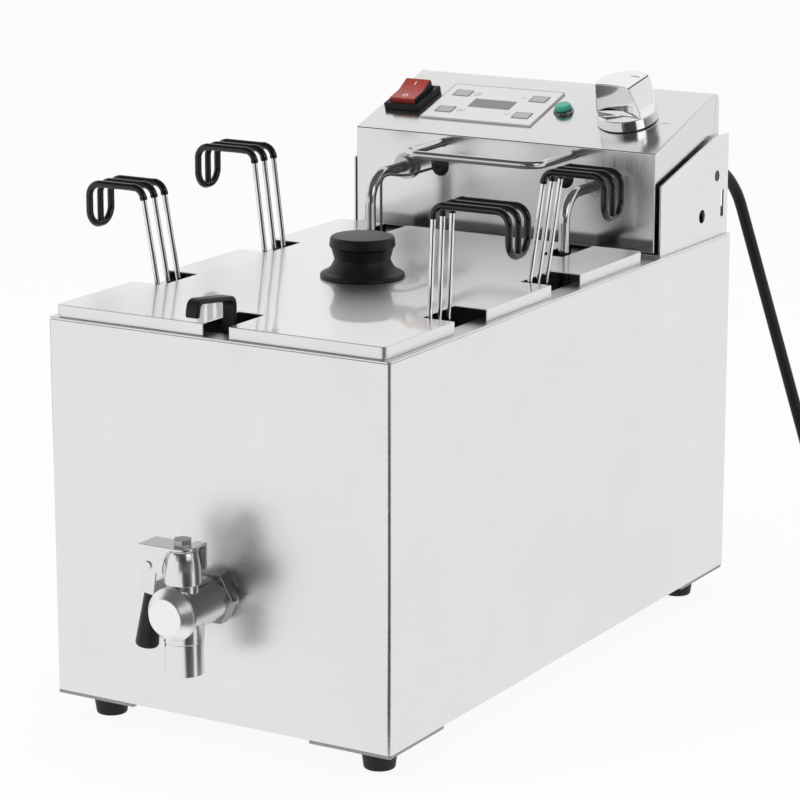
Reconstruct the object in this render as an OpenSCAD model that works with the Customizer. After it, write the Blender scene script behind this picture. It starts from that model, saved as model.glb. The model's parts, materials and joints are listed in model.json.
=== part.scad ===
// Countertop pasta cooker. A sheet-steel casing holds a tank with a lift-out rack and four
// baskets. A ball tap drains the tank at the front. A control head stands in a cradle at the
// rear and carries the immersion element.
// Millimetres, +Z up, front towards -Y, origin on the table under the middle of the machine.

/* [Casing] */
// Width of the casing
casing_w = 265; // [240:1:300]
// Depth of the casing from the front panel to the rear edge
casing_d = 502; // [460:1:560]
// Height of the casing from its lower edge to the top plate
casing_h = 261; // [255:1:280]
// Thickness of the casing sheet
sheet = 1.2; // [0.8:0.1:1.5]
// Outer radius of the two bent front edges
bend_r = 3; // [2:0.5:5]
// Width of the lips folded inwards
lip_w = 10; // [8:1:11]
// Distance of the rear panel from the rear edge
rear_inset = 2; // [1:0.5:4]
// Thickness of the tank rim and the rear deck
rim_t = 1.5; // [1.2:0.1:2]

/* [Feet] */
// Height of the casing above the table
foot_h = 20; // [16:1:30]
// Diameter of a foot at the top
foot_top_d = 26; // [24:1:30]
// Diameter of a foot at the table
foot_low_d = 21; // [18:1:24]
// Distance of a foot from the side of the casing
foot_side = 25; // [20:1:30]
// Distance of a foot from the front or rear of the casing
foot_end = 28; // [22:1:36]
// Width of a corner plate
corner_w = 62; // [56:1:70]
// Length of a corner plate
corner_l = 70; // [64:1:80]
// Thickness of a corner plate
corner_t = 2.5; // [2:0.1:3]

/* [Tank] */
// Distance of the tank from the sides of the casing
tank_side = 15.5; // [14:0.5:18]
// Depth of the tank under the top plate
tank_depth = 185; // [180:1:195]
// Distance of the tank from the front panel
tank_front = 16; // [15:0.5:18]
// Corner radius of the tank
tank_r = 14; // [10:1:18]
// Wall of the tank
tank_wall = 1.2; // [1:0.1:1.5]

/* [Lid] */
// Distance of the lid's edges from the sides of the casing
lid_side = 5; // [4:0.5:6]
// Distance of the lid from the front panel
lid_front = 2.5; // [1.5:0.5:4]
// Height of the lid
lid_h = 8.5; // [8:0.5:11]
// Thickness of the lid's sheet
lid_t = 1.2; // [1:0.1:1.5]
// Corner radius of the lid
lid_r = 4; // [3:0.5:6]
// Length of a side notch for a basket handle
notch_l = 42.5; // [42:0.5:48]
// Width of the front notch for the rack's strap
strap_notch_w = 20; // [18:1:24]
// Width of a rear slot for an element arm
arm_slot_w = 18; // [17:0.5:20]
// Distance of the lid's knob behind the middle of the lid
lid_knob_back = 2; // [0:1:6]
// Diameter of the knob's base
lid_knob_d = 59; // [54:1:64]
// Diameter of the knob's waist
lid_knob_waist = 39; // [36:1:42]
// Largest diameter of the knob's head
lid_knob_head = 46; // [43:1:50]
// Height of the knob
lid_knob_h = 29; // [26:1:32]

/* [Baskets] */
// Space between a basket and the side of the tank
basket_side = 13; // [12:0.5:16]
// Space between the front baskets and the front of the tank
basket_front = 30.5; // [28:0.5:34]
// Space between the rear baskets and the back of the tank
basket_behind = 66; // [62:1:72]
// Height of a basket
basket_h = 100; // [90:1:102]
// Thickness of the basket's sheet
basket_t = 1; // [0.8:0.1:1.2]
// Space between the left and right baskets
basket_gap = 8; // [7:0.5:10]
// Space between the front and rear baskets
basket_step = 13.5; // [13:0.5:15]
// Diameter of a handle wire
wire_d = 3.5; // [3.2:0.1:4.2]
// Spacing of the three wires of a handle
wire_pitch = 12.5; // [11.5:0.5:12.5]
// Diameter of the coating on a handle
grip_d = 4.9; // [4.6:0.1:6]
// Reach of a handle beyond its upright wires
handle_reach = 59; // [56:1:64]
// Depth of the loop at the end of a handle
handle_drop = 30; // [28:1:34]
// Height of the front left handle over the top plate
rise_front_left = 73; // [70:1:86]
// Height of the rear left handle over the top plate
rise_rear_left = 80; // [70:1:86]
// Height of the front right handle over the top plate
rise_front_right = 83; // [70:1:86]
// Height of the rear right handle over the top plate
rise_rear_right = 86; // [70:1:86]
// Outward lean of the front left handle
lean_front_left = 10; // [0:1:13]
// Outward lean of the rear left handle
lean_rear_left = 7; // [0:1:13]
// Outward lean of the front right handle
lean_front_right = 2; // [0:1:13]
// Outward lean of the rear right handle
lean_rear_right = 8; // [0:1:13]

/* [Rack] */
// Space between the perforated rack and the side of the tank
rack_side = 5; // [4:0.5:8]
// Height of the rack over the tank floor
rack_h = 34.5; // [33:0.5:38]
// Thickness of the rack's sheet
rack_t = 1.5; // [1.2:0.1:2]
// Width of the rack's strap in its sleeve
strap_w = 10; // [8:0.5:12]
// Thickness of the rack's strap in its sleeve
strap_t = 3.6; // [3.4:0.1:4.2]
// Height of the strap's corner over the top plate
strap_rise = 26; // [22:1:28]
// Forward reach of the strap
strap_reach = 42; // [38:1:46]
// Rise of the strap over its reach
strap_slope = 4; // [2:0.5:6]
// Length of the tab at the end of the strap
strap_drop = 12; // [8:0.5:13]

/* [Head] */
// Distance of the control head from the sides of the casing
head_side_gap = 6.5; // [6:0.5:9]
// Depth of the control head
head_d = 107; // [104:1:112]
// Distance of the head from the rear edge
head_rear = 11; // [9:1:14]
// Height of the head's front
head_front_h = 73; // [70:1:78]
// Slope of the control panel
panel_slope = 17.4; // [15:0.2:20]
// Radius of the bend at the rear top
top_bend = 7; // [5:0.5:9]
// Gap under the head
head_gap = 3; // [2.5:0.5:5]
// Thickness of the cradle's sheet
cradle_t = 1.5; // [1.2:0.1:2]
// Height of the cradle at its front
cradle_front_h = 52; // [48:1:56]
// Height of the cradle at its rear
cradle_rear_h = 76; // [72:1:80]
// Diameter of the drain rail
rail_d = 6; // [5:0.5:7]
// Width of the drain rail
rail_w = 110; // [106:1:120]
// Reach of the drain rail from the head
rail_out = 58; // [50:1:60]
// Diameter of the element's tube
element_d = 8; // [7:0.5:8.5]
// Distance of an element arm from the side of the tank
arm_side = 36; // [34:1:39]

/* [Panel] */
// Width of the switch bezel
switch_w = 30; // [28:1:32]
// Length of the switch bezel
switch_l = 37; // [35:1:40]
// Width of the key panel
membrane_w = 95; // [92:1:98]
// Length of the key panel
membrane_l = 59; // [57:1:64]
// Thickness of the key panel
membrane_t = 1.2; // [1:0.1:1.5]
// Width of a key
button_w = 13; // [11:0.5:14]
// Length of a key
button_l = 9; // [8:0.5:10]
// Diameter of the lamp's bezel
lamp_d = 16; // [15:0.5:18]
// Diameter of the thermostat knob
dial_d = 46; // [44:1:48]
// Height of the thermostat knob
dial_h = 30; // [27:1:33]

/* [Tap] */
// Height of the drain over the tank floor
drain_rise = 13; // [13:0.5:16]
// Distance of the tap's stem from the front panel
stem_y = 39; // [37:0.5:42]
// Diameter of the tap's barrel
barrel_d = 31; // [30:0.5:33]
// Diameter of the hub at the tap's front end
hub_d = 36; // [35:0.5:37]
// Outer diameter of the spout
spout_d = 26.4; // [25:0.2:27]
// Length of the spout under the barrel's axis
spout_l = 43; // [40:1:48]
// Length of the turned-down end of the spout for a hose
spout_end_l = 22; // [18:1:24]
// Lean of the hanging lever
lever_lean = 8.6; // [6:0.2:10]
// Length of the lever's grip
lever_grip_l = 39; // [34:1:42]

/* [Cord] */
// Diameter of the cord
cord_d = 9; // [8.4:0.1:9.2]
// Turns of the coil in one layer
coil_turns = 2.15; // [2.05:0.05:2.25]
// Radius of the coil's outermost turn
coil_r = 59.4; // [58:0.2:62]
// Diameter of the plug
plug_d = 33; // [32:0.5:34]

/* [Hidden] */
$fn = 48;
eps = 0.01;
fit = 0.1;
free = 0.3;

half_w = casing_w / 2;
wall_top = casing_h - rim_t;
rear_y = casing_d - rear_inset;
head_back_y = casing_d - head_rear;
head_front = head_back_y - head_d;
rim_gap = 10;
rim_back = 8;
rim_l = head_front - rim_gap;
tank_w = casing_w - 2 * tank_side;
tank_back = rim_l - rim_back;
tank_l = tank_back - tank_front;
tank_floor = casing_h - tank_depth;
vent_x = 52;
vent_w = 70;
vent_h = 4;
vent_step = 12;
foot_bolt_d = 5;
screw_d = 4;
screw_in = 20;
screw_rear = 25;
flange_w = 18;

lid_w = casing_w - 2 * lid_side;
lid_back = tank_back - 2.5;
lid_top = casing_h + lid_h;
lid_low = lid_top - lid_t;
lid_knob_y = (lid_front + lid_back) / 2 + lid_knob_back;

basket_z = tank_floor + rack_h + rack_t;
basket_out = tank_w / 2 - basket_side;
basket_w = basket_out - basket_gap / 2;
basket_l = (tank_l - basket_front - basket_step - basket_behind) / 2;
basket_front_y = tank_front + basket_front + basket_l / 2;
basket_rear_y = basket_front_y + basket_l + basket_step;
wire_x = basket_out + wire_d / 2 + fit;
wire_low = basket_z + basket_h - 70;
lean_z = casing_h - 11;
top_r = 8;
knee_gap = 0.6;
knee_d = wire_d + 1;
bend_gap = 0.2;
sleeve_l = 1;
sleeve_d = 0.3;
coat_l = 1.5;
clip_t = 1.2;
loop_r = wire_pitch - 1.5;
drop_r = 9;
handle_x = wire_x + handle_reach;
front_left = [basket_front_y, lean_front_left, casing_h + rise_front_left];
rear_left = [basket_rear_y, lean_rear_left, casing_h + rise_rear_left];
front_right = [basket_front_y, lean_front_right, casing_h + rise_front_right];
rear_right = [basket_rear_y, lean_rear_right, casing_h + rise_rear_right];
notch_x = wire_x - wire_d / 2 - 1.6;
notch_shift = 5;

rack_w = tank_w - 2 * rack_side;
rack_front = tank_front + 6;
rack_back = basket_rear_y + basket_l / 2 + 12;
rack_mid = (rack_front + rack_back) / 2;
rack_hole_d = 14;
rack_z = tank_floor + rack_h;
strap_y = tank_front + 1.4 + strap_t / 2;
strap_z = casing_h + strap_rise;
strap_core_w = strap_w - 2;
strap_core_t = strap_t - 1.5;
sleeve_z = casing_h - 21;
strap_notch_l = strap_y + strap_t / 2 + 23.6;

head_w = casing_w - 2 * head_side_gap;
head_low = casing_h + head_gap;
head_top = head_low + head_front_h;
head_rear_top = head_top + head_d * tan(panel_slope);
panel_l = head_d / cos(panel_slope);
return_h = 20;
bend_steps = 8;
arm_x = tank_w / 2 - arm_side;
arm_back = 36;
arm_up = 47;
arm_y = tank_back - arm_back;
arm_z = head_low + arm_up;
arm_r = 20;
rail_up = 67;
rail_z = head_low + rail_up;
rail_y = head_front - rail_out;
rail_x = 5;
flange_d = 20;
flange_t = 3;
neck_d = 15;
neck_l = 8;
thread_d = 13;
thread_l = 12;
lock_nut_d = 21;
lock_nut_t = 5;
grommet_in = 28.4;
grommet_x = arm_x - grommet_in;
grommet_up = 49;
grommet_z = head_low + grommet_up;
grommet_d = 15;
grommet_neck = 10;
grommet_t = 4;
element_up = 18;
element_z = tank_floor + element_up;
capillary_d = 2;
bulb_d = 5;
bulb_l = 60;
bulb_up = 24;
capillary_x = arm_x - element_d / 2 - 3.4;
cradle_front = head_front + 3;
cradle_back = casing_d - 1;
cradle_gap = 2.5;
cradle_in = head_w / 2 + cradle_gap;
cradle_lip = 20;
pivot_in = 19;
pivot_up = 46;
pivot_y = cradle_back - pivot_in;
pivot_z = casing_h + pivot_up;
pivot_d = 8;
pivot_head_d = 12;
pivot_head_t = 4;
louvre_x = 40;
louvre_w = 80;
louvre_up = 30;
louvre_step = 8;
louvre_h = 3;

switch_side = 6;
switch_x = switch_side + switch_w / 2 - head_w / 2;
switch_u = panel_l * 0.46;
membrane_gap = 6;
membrane_x = switch_x + switch_w / 2 + membrane_gap + membrane_w / 2;
membrane_u = panel_l * 0.48;
button_dx = 33;
button_du = 14.4;
button_h = 1;
button_low = 0.6;
display_w = 36;
display_l = 14.5;
display_t = 0.9;
dial_side = 23;
dial_cut = 7;
dial_scoop = 60;
dial_bevel = 30;
dial_x = head_w / 2 - dial_side - dial_d / 2;
lamp_gap = (dial_x - dial_d / 2 - membrane_x - membrane_w / 2 - lamp_d) / 6;
lamp_x = membrane_x + membrane_w / 2 + lamp_gap + lamp_d / 2;
lamp_u = panel_l * 0.485;
dial_u = panel_l * 0.44;
dial_skirt = 8;
dial_turn = -10;
shaft_d = 6;
rocker_rest = 8;
rocker_w = switch_w - 8;
rocker_l = switch_l - 9;
bezel_h = 5;
rocker_z = bezel_h - 2;
axle_d = 3;
axle_l = rocker_w + 3;

tap_z = tank_floor + drain_rise;
tap_end = stem_y + 22;
cap_in = spout_d / 2 + 1.3;
cap_t = tap_end - stem_y - cap_in;
spout_end_d = spout_d - 1;
spout_bore = spout_d - 6;
nut_t = 11;
ball_r = 11.5;
cavity_r = 12;
port_r = 6.5;
seat_r = 7.4;
stem_r = 4.5;
collar_z = 18;
bonnet_z = 41;
plate_z = bonnet_z + free;
plate_t = 1.5;
bracket_w = 20;
arm_l = 28;
stop_w = 8;
stop_h = 18;
pin_x = 20.8;
pin_z = 29;
pin_d = 4;
pipe_d = 22;
pipe_bore = 15;
pipe_out = 18;
lever_w = 11;
lever_in = 6.3;
lever_l = 20;

cord_r = cord_d / 2;
tie_t = 1.2;
layer_step = cord_d + 1.5;
turn_step = cord_d + 0.6;
coil_low = -foot_h + tie_t + free + cord_r;
gland_side = 21;
gland_x = head_w / 2 - gland_side;
gland_y = head_back_y - sheet - fit;
gland_up = 44;
gland_z = casing_h + gland_up;
gland_d = 22;
gland_t = 5;
gland_l = 30;
cord_out = 37;
cord_y = gland_y + gland_l + cord_out;
coil_y = cord_y - coil_r;
land_out = 77.5;
land_x = half_w + land_out;
coil_side = 75;
coil_x = land_x + coil_side;
cord_route = [
    [gland_x, gland_y + gland_l, gland_z],
    [gland_x, cord_y, gland_z],
    [land_x, cord_y, coil_low],
    [coil_x, cord_y, coil_low]
];
cord_bend = [36, 40];
coil_rings = 24;
coil_tail = 45;
mid_y = (casing_d - tap_end) / 2;

function unit(v) = v / norm(v);
function side_of(v) = unit(cross(abs(v[2]) < 0.9 ? [0, 0, 1] : [1, 0, 0], v));
function bend_cut(a, b, c, r) = r * tan(corner_angle(a, b, c) / 2);
function corner_angle(a, b, c) = acos(unit(b - a) * unit(c - b));

// Points along a rounded corner of a route
function arc_points(a, b, c, r, n) =
    let (
        d1 = unit(b - a),
        d2 = unit(c - b),
        turn = corner_angle(a, b, c),
        across = unit(d2 - d1 * (d1 * d2)),
        start = b - d1 * bend_cut(a, b, c, r)
    )
    [for (i = [0 : n])
        let (q = turn * i / n)
        start + across * r * (1 - cos(q)) + d1 * r * sin(q)];

// Points between two ends, the ends left out
function line_points(a, b, n) = [for (i = [1 : n - 1]) a + (b - a) * i / n];

function path_length(p) = len(p) < 2 ? 0 :
    [for (i = 1, s = norm(p[1] - p[0]); i < len(p); i = i + 1,
        s = s + (i < len(p) ? norm(p[i] - p[i - 1]) : 0)) s][len(p) - 2];

// Tangents and carried side vectors of a path
function tangents(p) = [for (i = [0 : len(p) - 1])
    unit(p[min(i + 1, len(p) - 1)] - p[max(i - 1, 0)])];
function carried(t) = [for (i = 0, n = side_of(t[0]); i < len(t); i = i + 1,
    n = i < len(t) ? unit(n - t[i] * (n * t[i])) : n) n];

module place() {
    translate([0, -mid_y, foot_h]) children();
}

module frame(x, y, z, p) {
    multmatrix([
        [x[0], y[0], z[0], p[0]],
        [x[1], y[1], z[1], p[1]],
        [x[2], y[2], z[2], p[2]],
        [0, 0, 0, 1]
    ]) children();
}

module rod(a, b, d) {
    w = unit(b - a);
    s = side_of(w);
    frame(s, cross(w, s), w, a) cylinder(h = norm(b - a), d = d);
}

// Bent wire: straight lengths joined by round bends, with one radius listed for each bend
module wire(p, d, radii) {
    last = len(p) - 1;
    cut = [for (i = [0 : last])
        i == 0 || i == last ? 0 : bend_cut(p[i - 1], p[i], p[i + 1], radii[i - 1])];
    for (i = [0 : last - 1]) {
        w = unit(p[i + 1] - p[i]);
        rod(p[i] + w * cut[i], p[i + 1] - w * cut[i + 1], d);
    }
    for (i = [1 : 1 : last - 1]) {
        d1 = unit(p[i] - p[i - 1]);
        d2 = unit(p[i + 1] - p[i]);
        n = unit(d2 - d1 * (d1 * d2));
        r = radii[i - 1];
        frame(-n, d1, cross(-n, d1), p[i] - d1 * cut[i] + n * r)
            rotate_extrude(angle = corner_angle(p[i - 1], p[i], p[i + 1])) translate([r, 0]) circle(d = d);
    }
}

// Swept tube of a soft cord through the points of a path
module tube(p, r, sides) {
    t = tangents(p);
    n = carried(t);
    rings = len(p);
    points = [for (i = [0 : rings - 1]) for (k = [0 : sides - 1])
        p[i] + r * (n[i] * cos(360 * k / sides) + cross(t[i], n[i]) * sin(360 * k / sides))];
    walls = [for (i = [0 : rings - 2]) for (k = [0 : sides - 1])
        let (m = (k + 1) % sides)
        each [
            [i * sides + k, (i + 1) * sides + k, (i + 1) * sides + m],
            [i * sides + k, (i + 1) * sides + m, i * sides + m]
        ]];
    first = [for (k = [1 : sides - 2]) [0, k, k + 1]];
    base = (rings - 1) * sides;
    end = [for (k = [1 : sides - 2]) [base, base + k + 1, base + k]];
    polyhedron(points, concat(first, walls, end));
}

module rounded(w, l, r) {
    translate([r, 0]) square([w - 2 * r, l]);
    translate([0, r]) square([w, l - 2 * r]);
    for (x = [r, w - r]) {
        for (y = [r, l - r]) {
            translate([x, y]) circle(r);
        }
    }
}

// Plan of the casing with its two bent front edges, moved in from the sides and the front
module casing_plan(in, l) {
    r = bend_r - in;
    translate([in - half_w, bend_r]) square([casing_w - 2 * in, l - bend_r]);
    translate([bend_r - half_w, in]) square([casing_w - 2 * bend_r, l - in]);
    for (s = [-1, 1]) {
        translate([s * (half_w - bend_r), bend_r]) circle(r);
    }
}

module across(w) {
    translate([-w / 2, 0, 0]) rotate([90, 0, 90]) linear_extrude(w) children();
}

module along_y(y0, y1, z, d) {
    translate([0, y0, z]) rotate([-90, 0, 0]) cylinder(h = y1 - y0, d = d);
}

module on_panel(x, u) {
    translate([x, head_front, head_top]) rotate([panel_slope, 0, 0]) translate([0, u, 0]) children();
}

module block(w, l, z0, z1) {
    translate([-w / 2, -l / 2, z0]) cube([w, l, z1 - z0]);
}

module each_corner() {
    for (sx = [-1, 1]) {
        for (back = [0, 1]) {
            translate([sx * half_w, back * casing_d, 0]) scale_side(-sx, 1 - 2 * back) children();
        }
    }
}

module scale_side(sx, sy) {
    mirror([sx < 0 ? 1 : 0, 0, 0]) mirror([0, sy < 0 ? 1 : 0, 0]) children();
}

module outer_casing() color("lightgray") place() {
    difference() {
        linear_extrude(wall_top) casing_plan(0, casing_d);
        translate([0, 0, sheet]) linear_extrude(wall_top - 2 * sheet) casing_plan(sheet, casing_d + 1);
        translate([lip_w - half_w, lip_w, -1]) cube([casing_w - 2 * lip_w, casing_d, wall_top + 2]);
        along_y(-1, sheet + 1, tap_z, pipe_d + 2 * fit);
    }
    for (s = [-1, 1]) {
        difference() {
            translate([s * (half_w - sheet - lip_w / 2), rear_y - 1.5 * sheet, wall_top / 2])
                cube([lip_w, sheet, wall_top - 2 * sheet], center = true);
            screw_rows(s) cylinder(h = lip_w, d = screw_d, center = true);
        }
    }
}

// Places of the rear panel's screws on one side
module screw_rows(s) {
    for (k = [1 : 3]) {
        translate([s * (half_w - sheet - lip_w / 2), rear_y, wall_top * (2 * k - 1) / 6])
            rotate([-90, 0, 0]) children();
    }
}

module rear_panel() color("silver") place() difference() {
    translate([sheet + fit - half_w, rear_y - sheet, sheet + fit])
        cube([casing_w - 2 * sheet - 2 * fit, sheet, wall_top - 2 * sheet - 2 * fit]);
    for (x = [-vent_x, vent_x]) {
        for (k = [0 : 6]) {
            translate([x, rear_y, wall_top * 0.55 + vent_step * k])
                cube([vent_w, vent_h, vent_h], center = true);
        }
    }
    for (s = [-1, 1]) {
        screw_rows(s) cylinder(h = lip_w, d = screw_d, center = true);
    }
}

module corner_plates() color("gray") place() each_corner() difference() {
    translate([0.6, 0.6, -corner_t]) linear_extrude(corner_t)
        polygon([[0, 0], [corner_w, 0], [corner_w, 22], [24, corner_l], [0, corner_l]]);
    translate([foot_side, foot_end, 0]) cylinder(h = foot_h, d = foot_bolt_d + 2 * fit, center = true);
}

module rubber_feet() color("dimgray") place() each_corner() translate([foot_side, foot_end, -foot_h])
    difference() {
        cylinder(h = foot_h - corner_t, d1 = foot_low_d, d2 = foot_top_d);
        translate([0, 0, -1]) cylinder(h = 7, d = 11);
        cylinder(h = foot_h, d = foot_bolt_d + 2 * fit);
    }

module screws() color("silver") place() {
    each_corner() translate([foot_side, foot_end, 6 - foot_h]) {
        translate([0, 0, -3.5]) cylinder(h = 3.5, d = 9);
        cylinder(h = foot_h - 6 + 3, d = foot_bolt_d);
    }
    for (s = [-1, 1]) {
        screw_rows(s) {
            cylinder(h = 2, d = 7);
            translate([0, 0, -8]) cylinder(h = 8, d = screw_d - 2 * fit);
        }
        for (y = [cradle_front + screw_in, cradle_back - screw_rear]) {
            translate([s * (cradle_in - flange_w / 2), y, casing_h - 8])
                cylinder(h = 8 + cradle_t, d = screw_d - 2 * fit);
        }
    }
}

module tank_space(low) {
    translate([-tank_w / 2, tank_front, tank_floor - low]) linear_extrude(tank_depth + low + 1)
        rounded(tank_w, tank_l, tank_r);
}

// Outline of the tank over its walls
module tank_plan() {
    translate([-tank_w / 2 - tank_wall, tank_front - tank_wall])
        rounded(tank_w + 2 * tank_wall, tank_l + 2 * tank_wall, tank_r + tank_wall);
}

module tank() color("lightgray") place() difference() {
    translate([0, 0, tank_floor]) linear_extrude(wall_top - tank_floor) tank_plan();
    tank_space(1);
    along_y(tank_front - 5, tank_front + 5, tap_z, pipe_d + 2 * fit);
}

module tank_base() color("lightgray") place()
    translate([0, 0, tank_floor - tank_wall]) linear_extrude(tank_wall) tank_plan();

module tank_rim() color("lightgray") place() difference() {
    translate([0, 0, wall_top]) linear_extrude(rim_t) casing_plan(0, rim_l);
    tank_space(0);
}

module rear_deck() color("lightgray") place() difference() {
    translate([-half_w, rim_l, wall_top]) cube([casing_w, casing_d - rim_l, rim_t]);
    for (s = [-1, 1]) {
        for (y = [cradle_front + screw_in, cradle_back - screw_rear]) {
            translate([s * (cradle_in - flange_w / 2), y, wall_top])
                cylinder(h = 10, d = screw_d, center = true);
        }
    }
}

module drain_pipe() color("silver") place() difference() {
    union() {
        along_y(-pipe_out, tank_front, tap_z, pipe_d);
        along_y(sheet, sheet + 3, tap_z, pipe_d + 8);
    }
    along_y(-pipe_out - 1, tank_front + 1, tap_z, pipe_bore);
}

module drain_nut() color("silver") place() translate([0, -nut_t, tap_z]) rotate([-90, 0, 0]) difference() {
    intersection() {
        cylinder(h = nut_t, d = 38.5, $fn = 6);
        cylinder(h = nut_t, d1 = 42, d2 = 35);
    }
    translate([0, 0, -1]) cylinder(h = nut_t + 2, d = pipe_d + 2 * fit);
}

module tap_body() color("silver") place() difference() {
    union() {
        along_y(cap_t - tap_end, -nut_t, tap_z, barrel_d);
        along_y(cap_t - tap_end, cap_t - tap_end + 3, tap_z, hub_d);
        translate([0, -stem_y, tap_z - spout_l + spout_end_l])
            cylinder(h = spout_l - spout_end_l, d = spout_d);
        translate([0, -stem_y, tap_z]) cylinder(h = collar_z, d = 20);
    }
    along_y(cap_t - tap_end - 1, cavity_r + 1 - stem_y, tap_z, 2 * cavity_r);
    along_y(-stem_y, 0, tap_z, 2 * seat_r);
    along_y(-pipe_out - fit, 0, tap_z, pipe_d + 2 * fit);
    translate([0, -stem_y, tap_z - spout_l - 1]) cylinder(h = spout_l - ball_r - 1, d = spout_bore);
    translate([0, -stem_y, tap_z - spout_l]) cylinder(h = spout_l, r = port_r);
    translate([0, -stem_y, tap_z]) cylinder(h = collar_z + 1, r = stem_r + fit);
}

module tap_spout() color("silver") place() translate([0, -stem_y, tap_z - spout_l]) difference() {
    cylinder(h = spout_end_l, d = spout_end_d);
    translate([0, 0, -1]) cylinder(h = spout_end_l + 2, d = spout_bore);
}

module tap_end_cap() color("whitesmoke") place() translate([0, -tap_end, tap_z]) rotate([-90, 0, 0]) {
    cylinder(h = cap_t, d1 = hub_d - 11.5, d2 = hub_d);
    cylinder(h = cap_t + cap_in - cavity_r - 1, r = cavity_r - fit / 2);
}

module ball_seats() color("white") place() translate([0, -stem_y, tap_z]) rotate([-90, 0, 0]) {
    for (s = [0, 1]) {
        mirror([0, 0, s]) translate([0, 0, cavity_r + 1 - 3.2]) difference() {
            cylinder(h = 3.2, r = cavity_r - fit / 2);
            translate([0, 0, -1]) cylinder(h = 6, r = seat_r);
        }
    }
}

module tap_bonnet() color("silver") place() translate([0, -stem_y, tap_z]) rotate_extrude() polygon([
    [stem_r + fit, collar_z],
    [12.3, collar_z],
    [12.3, collar_z + 3],
    [11.9, collar_z + 10],
    [10.9, collar_z + 17],
    [9.6, bonnet_z - 1.5],
    [8.4, bonnet_z],
    [stem_r + fit, bonnet_z]
]);

module valve_ball() color("silver") place() translate([0, -stem_y, tap_z]) difference() {
    sphere(ball_r);
    rotate([0, 90, 0]) cylinder(h = 2 * ball_r, r = port_r);
    rotate([180, 0, 0]) cylinder(h = 2 * ball_r, r = port_r);
    translate([-ball_r, -3 - fit, 7.5]) cube([2 * ball_r, 6 + 2 * fit, 10]);
}

module valve_stem() color("silver") place() translate([0, -stem_y, tap_z]) difference() {
    union() {
        translate([-3.3, -3, 7.5]) cube([6.6, 6, 4.5]);
        translate([0, 0, 11.6]) cylinder(h = plate_z + plate_t - 11.6, r = stem_r);
    }
    translate([0, 0, plate_z + plate_t - 9]) cylinder(h = 10, d = 5 + 2 * fit);
}

module handle_bracket() color("silver") place() translate([0, -stem_y, tap_z]) {
    difference() {
        union() {
            translate([-arm_l, -bracket_w / 2, plate_z]) cube([arm_l, bracket_w, plate_t]);
            translate([0, 0, plate_z]) cylinder(h = plate_t, d = bracket_w);
            translate([1, 0, plate_z]) cube([stop_w, bracket_w / 2 + 4.5, plate_t]);
            translate([1, bracket_w / 2 + 3, plate_z - stop_h]) cube([stop_w, plate_t, stop_h + plate_t]);
            for (s = [0, 1]) {
                mirror([0, s, 0]) translate([0, bracket_w / 2, 0]) rotate([90, 0, 0])
                    linear_extrude(plate_t) polygon([
                        [-arm_l, pin_z - 4],
                        [-9.4, pin_z - 4],
                        [-9.4, pin_z],
                        [-7.8, pin_z + 6],
                        [-5.6, pin_z + 10.5],
                        [-3.2, plate_z],
                        [-3.2, plate_z + plate_t],
                        [-arm_l, plate_z + plate_t]
                    ]);
            }
        }
        cylinder(h = 2 * plate_z, r = stem_r + fit);
    }
    translate([-pin_x, 0, pin_z]) rotate([90, 0, 0]) {
        cylinder(h = bracket_w - 1, d = pin_d, center = true);
        for (s = [0, 1]) {
            mirror([0, 0, s]) translate([0, 0, bracket_w / 2]) cylinder(h = 1.2, d = pin_d + 2);
        }
    }
}

module bracket_bolt() color("gray") place() translate([0, -stem_y, tap_z + plate_z + plate_t]) {
    cylinder(h = 5, d = 12.7, $fn = 6);
    translate([0, 0, -8]) cylinder(h = 8, d = 5);
}

module lever_frame() {
    translate([-pin_x, -stem_y, tap_z + pin_z]) rotate([0, lever_lean, 0]) children();
}

module lever() color("silver") place() lever_frame() {
    difference() {
        for (s = [0, 1]) {
            mirror([0, s, 0]) translate([0, lever_in, 0]) rotate([-90, 0, 0]) linear_extrude(plate_t)
                union() {
                    circle(d = lever_w);
                    translate([-lever_w / 2, 0]) square([lever_w, lever_l]);
                }
        }
        rotate([90, 0, 0]) cylinder(h = 40, d = pin_d + 2 * fit, center = true);
    }
    translate([-lever_w / 2, -lever_in, -lever_l]) cube([lever_w, 2 * lever_in, 2]);
}

module lever_grip() color("black") place() lever_frame() translate([0, 0, -lever_l - lever_grip_l]) {
    cylinder(h = 1.5, d1 = 13, d2 = 15.8);
    translate([0, 0, 1.5]) cylinder(h = lever_grip_l - 1.5, d1 = 15.8, d2 = lever_w);
}

module lid() color("gainsboro") place() difference() {
    translate([-lid_w / 2, lid_front, casing_h]) linear_extrude(lid_h)
        rounded(lid_w, lid_back - lid_front, lid_r);
    translate([lid_t - lid_w / 2, lid_front + lid_t, casing_h - 1]) linear_extrude(lid_h - lid_t + 1)
        rounded(lid_w - 2 * lid_t, lid_back - lid_front - 2 * lid_t, lid_r - lid_t);
    for (s = [0, 1]) {
        mirror([s, 0, 0]) {
            for (y = [basket_front_y, basket_rear_y]) {
                translate([notch_x, y + notch_shift - notch_l / 2, casing_h - 1])
                    cube([half_w, notch_l, lid_h + 2]);
            }
            translate([arm_x - 2.5 - arm_slot_w / 2, arm_y - 14, casing_h - 1])
                cube([arm_slot_w, tank_l, lid_h + 2]);
        }
    }
    translate([-strap_notch_w / 2, -1, casing_h - 1]) cube([strap_notch_w, strap_notch_l + 1, lid_h + 2]);
    translate([0, lid_knob_y, casing_h]) cylinder(h = lid_h + 1, d = 5.2);
}

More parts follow.
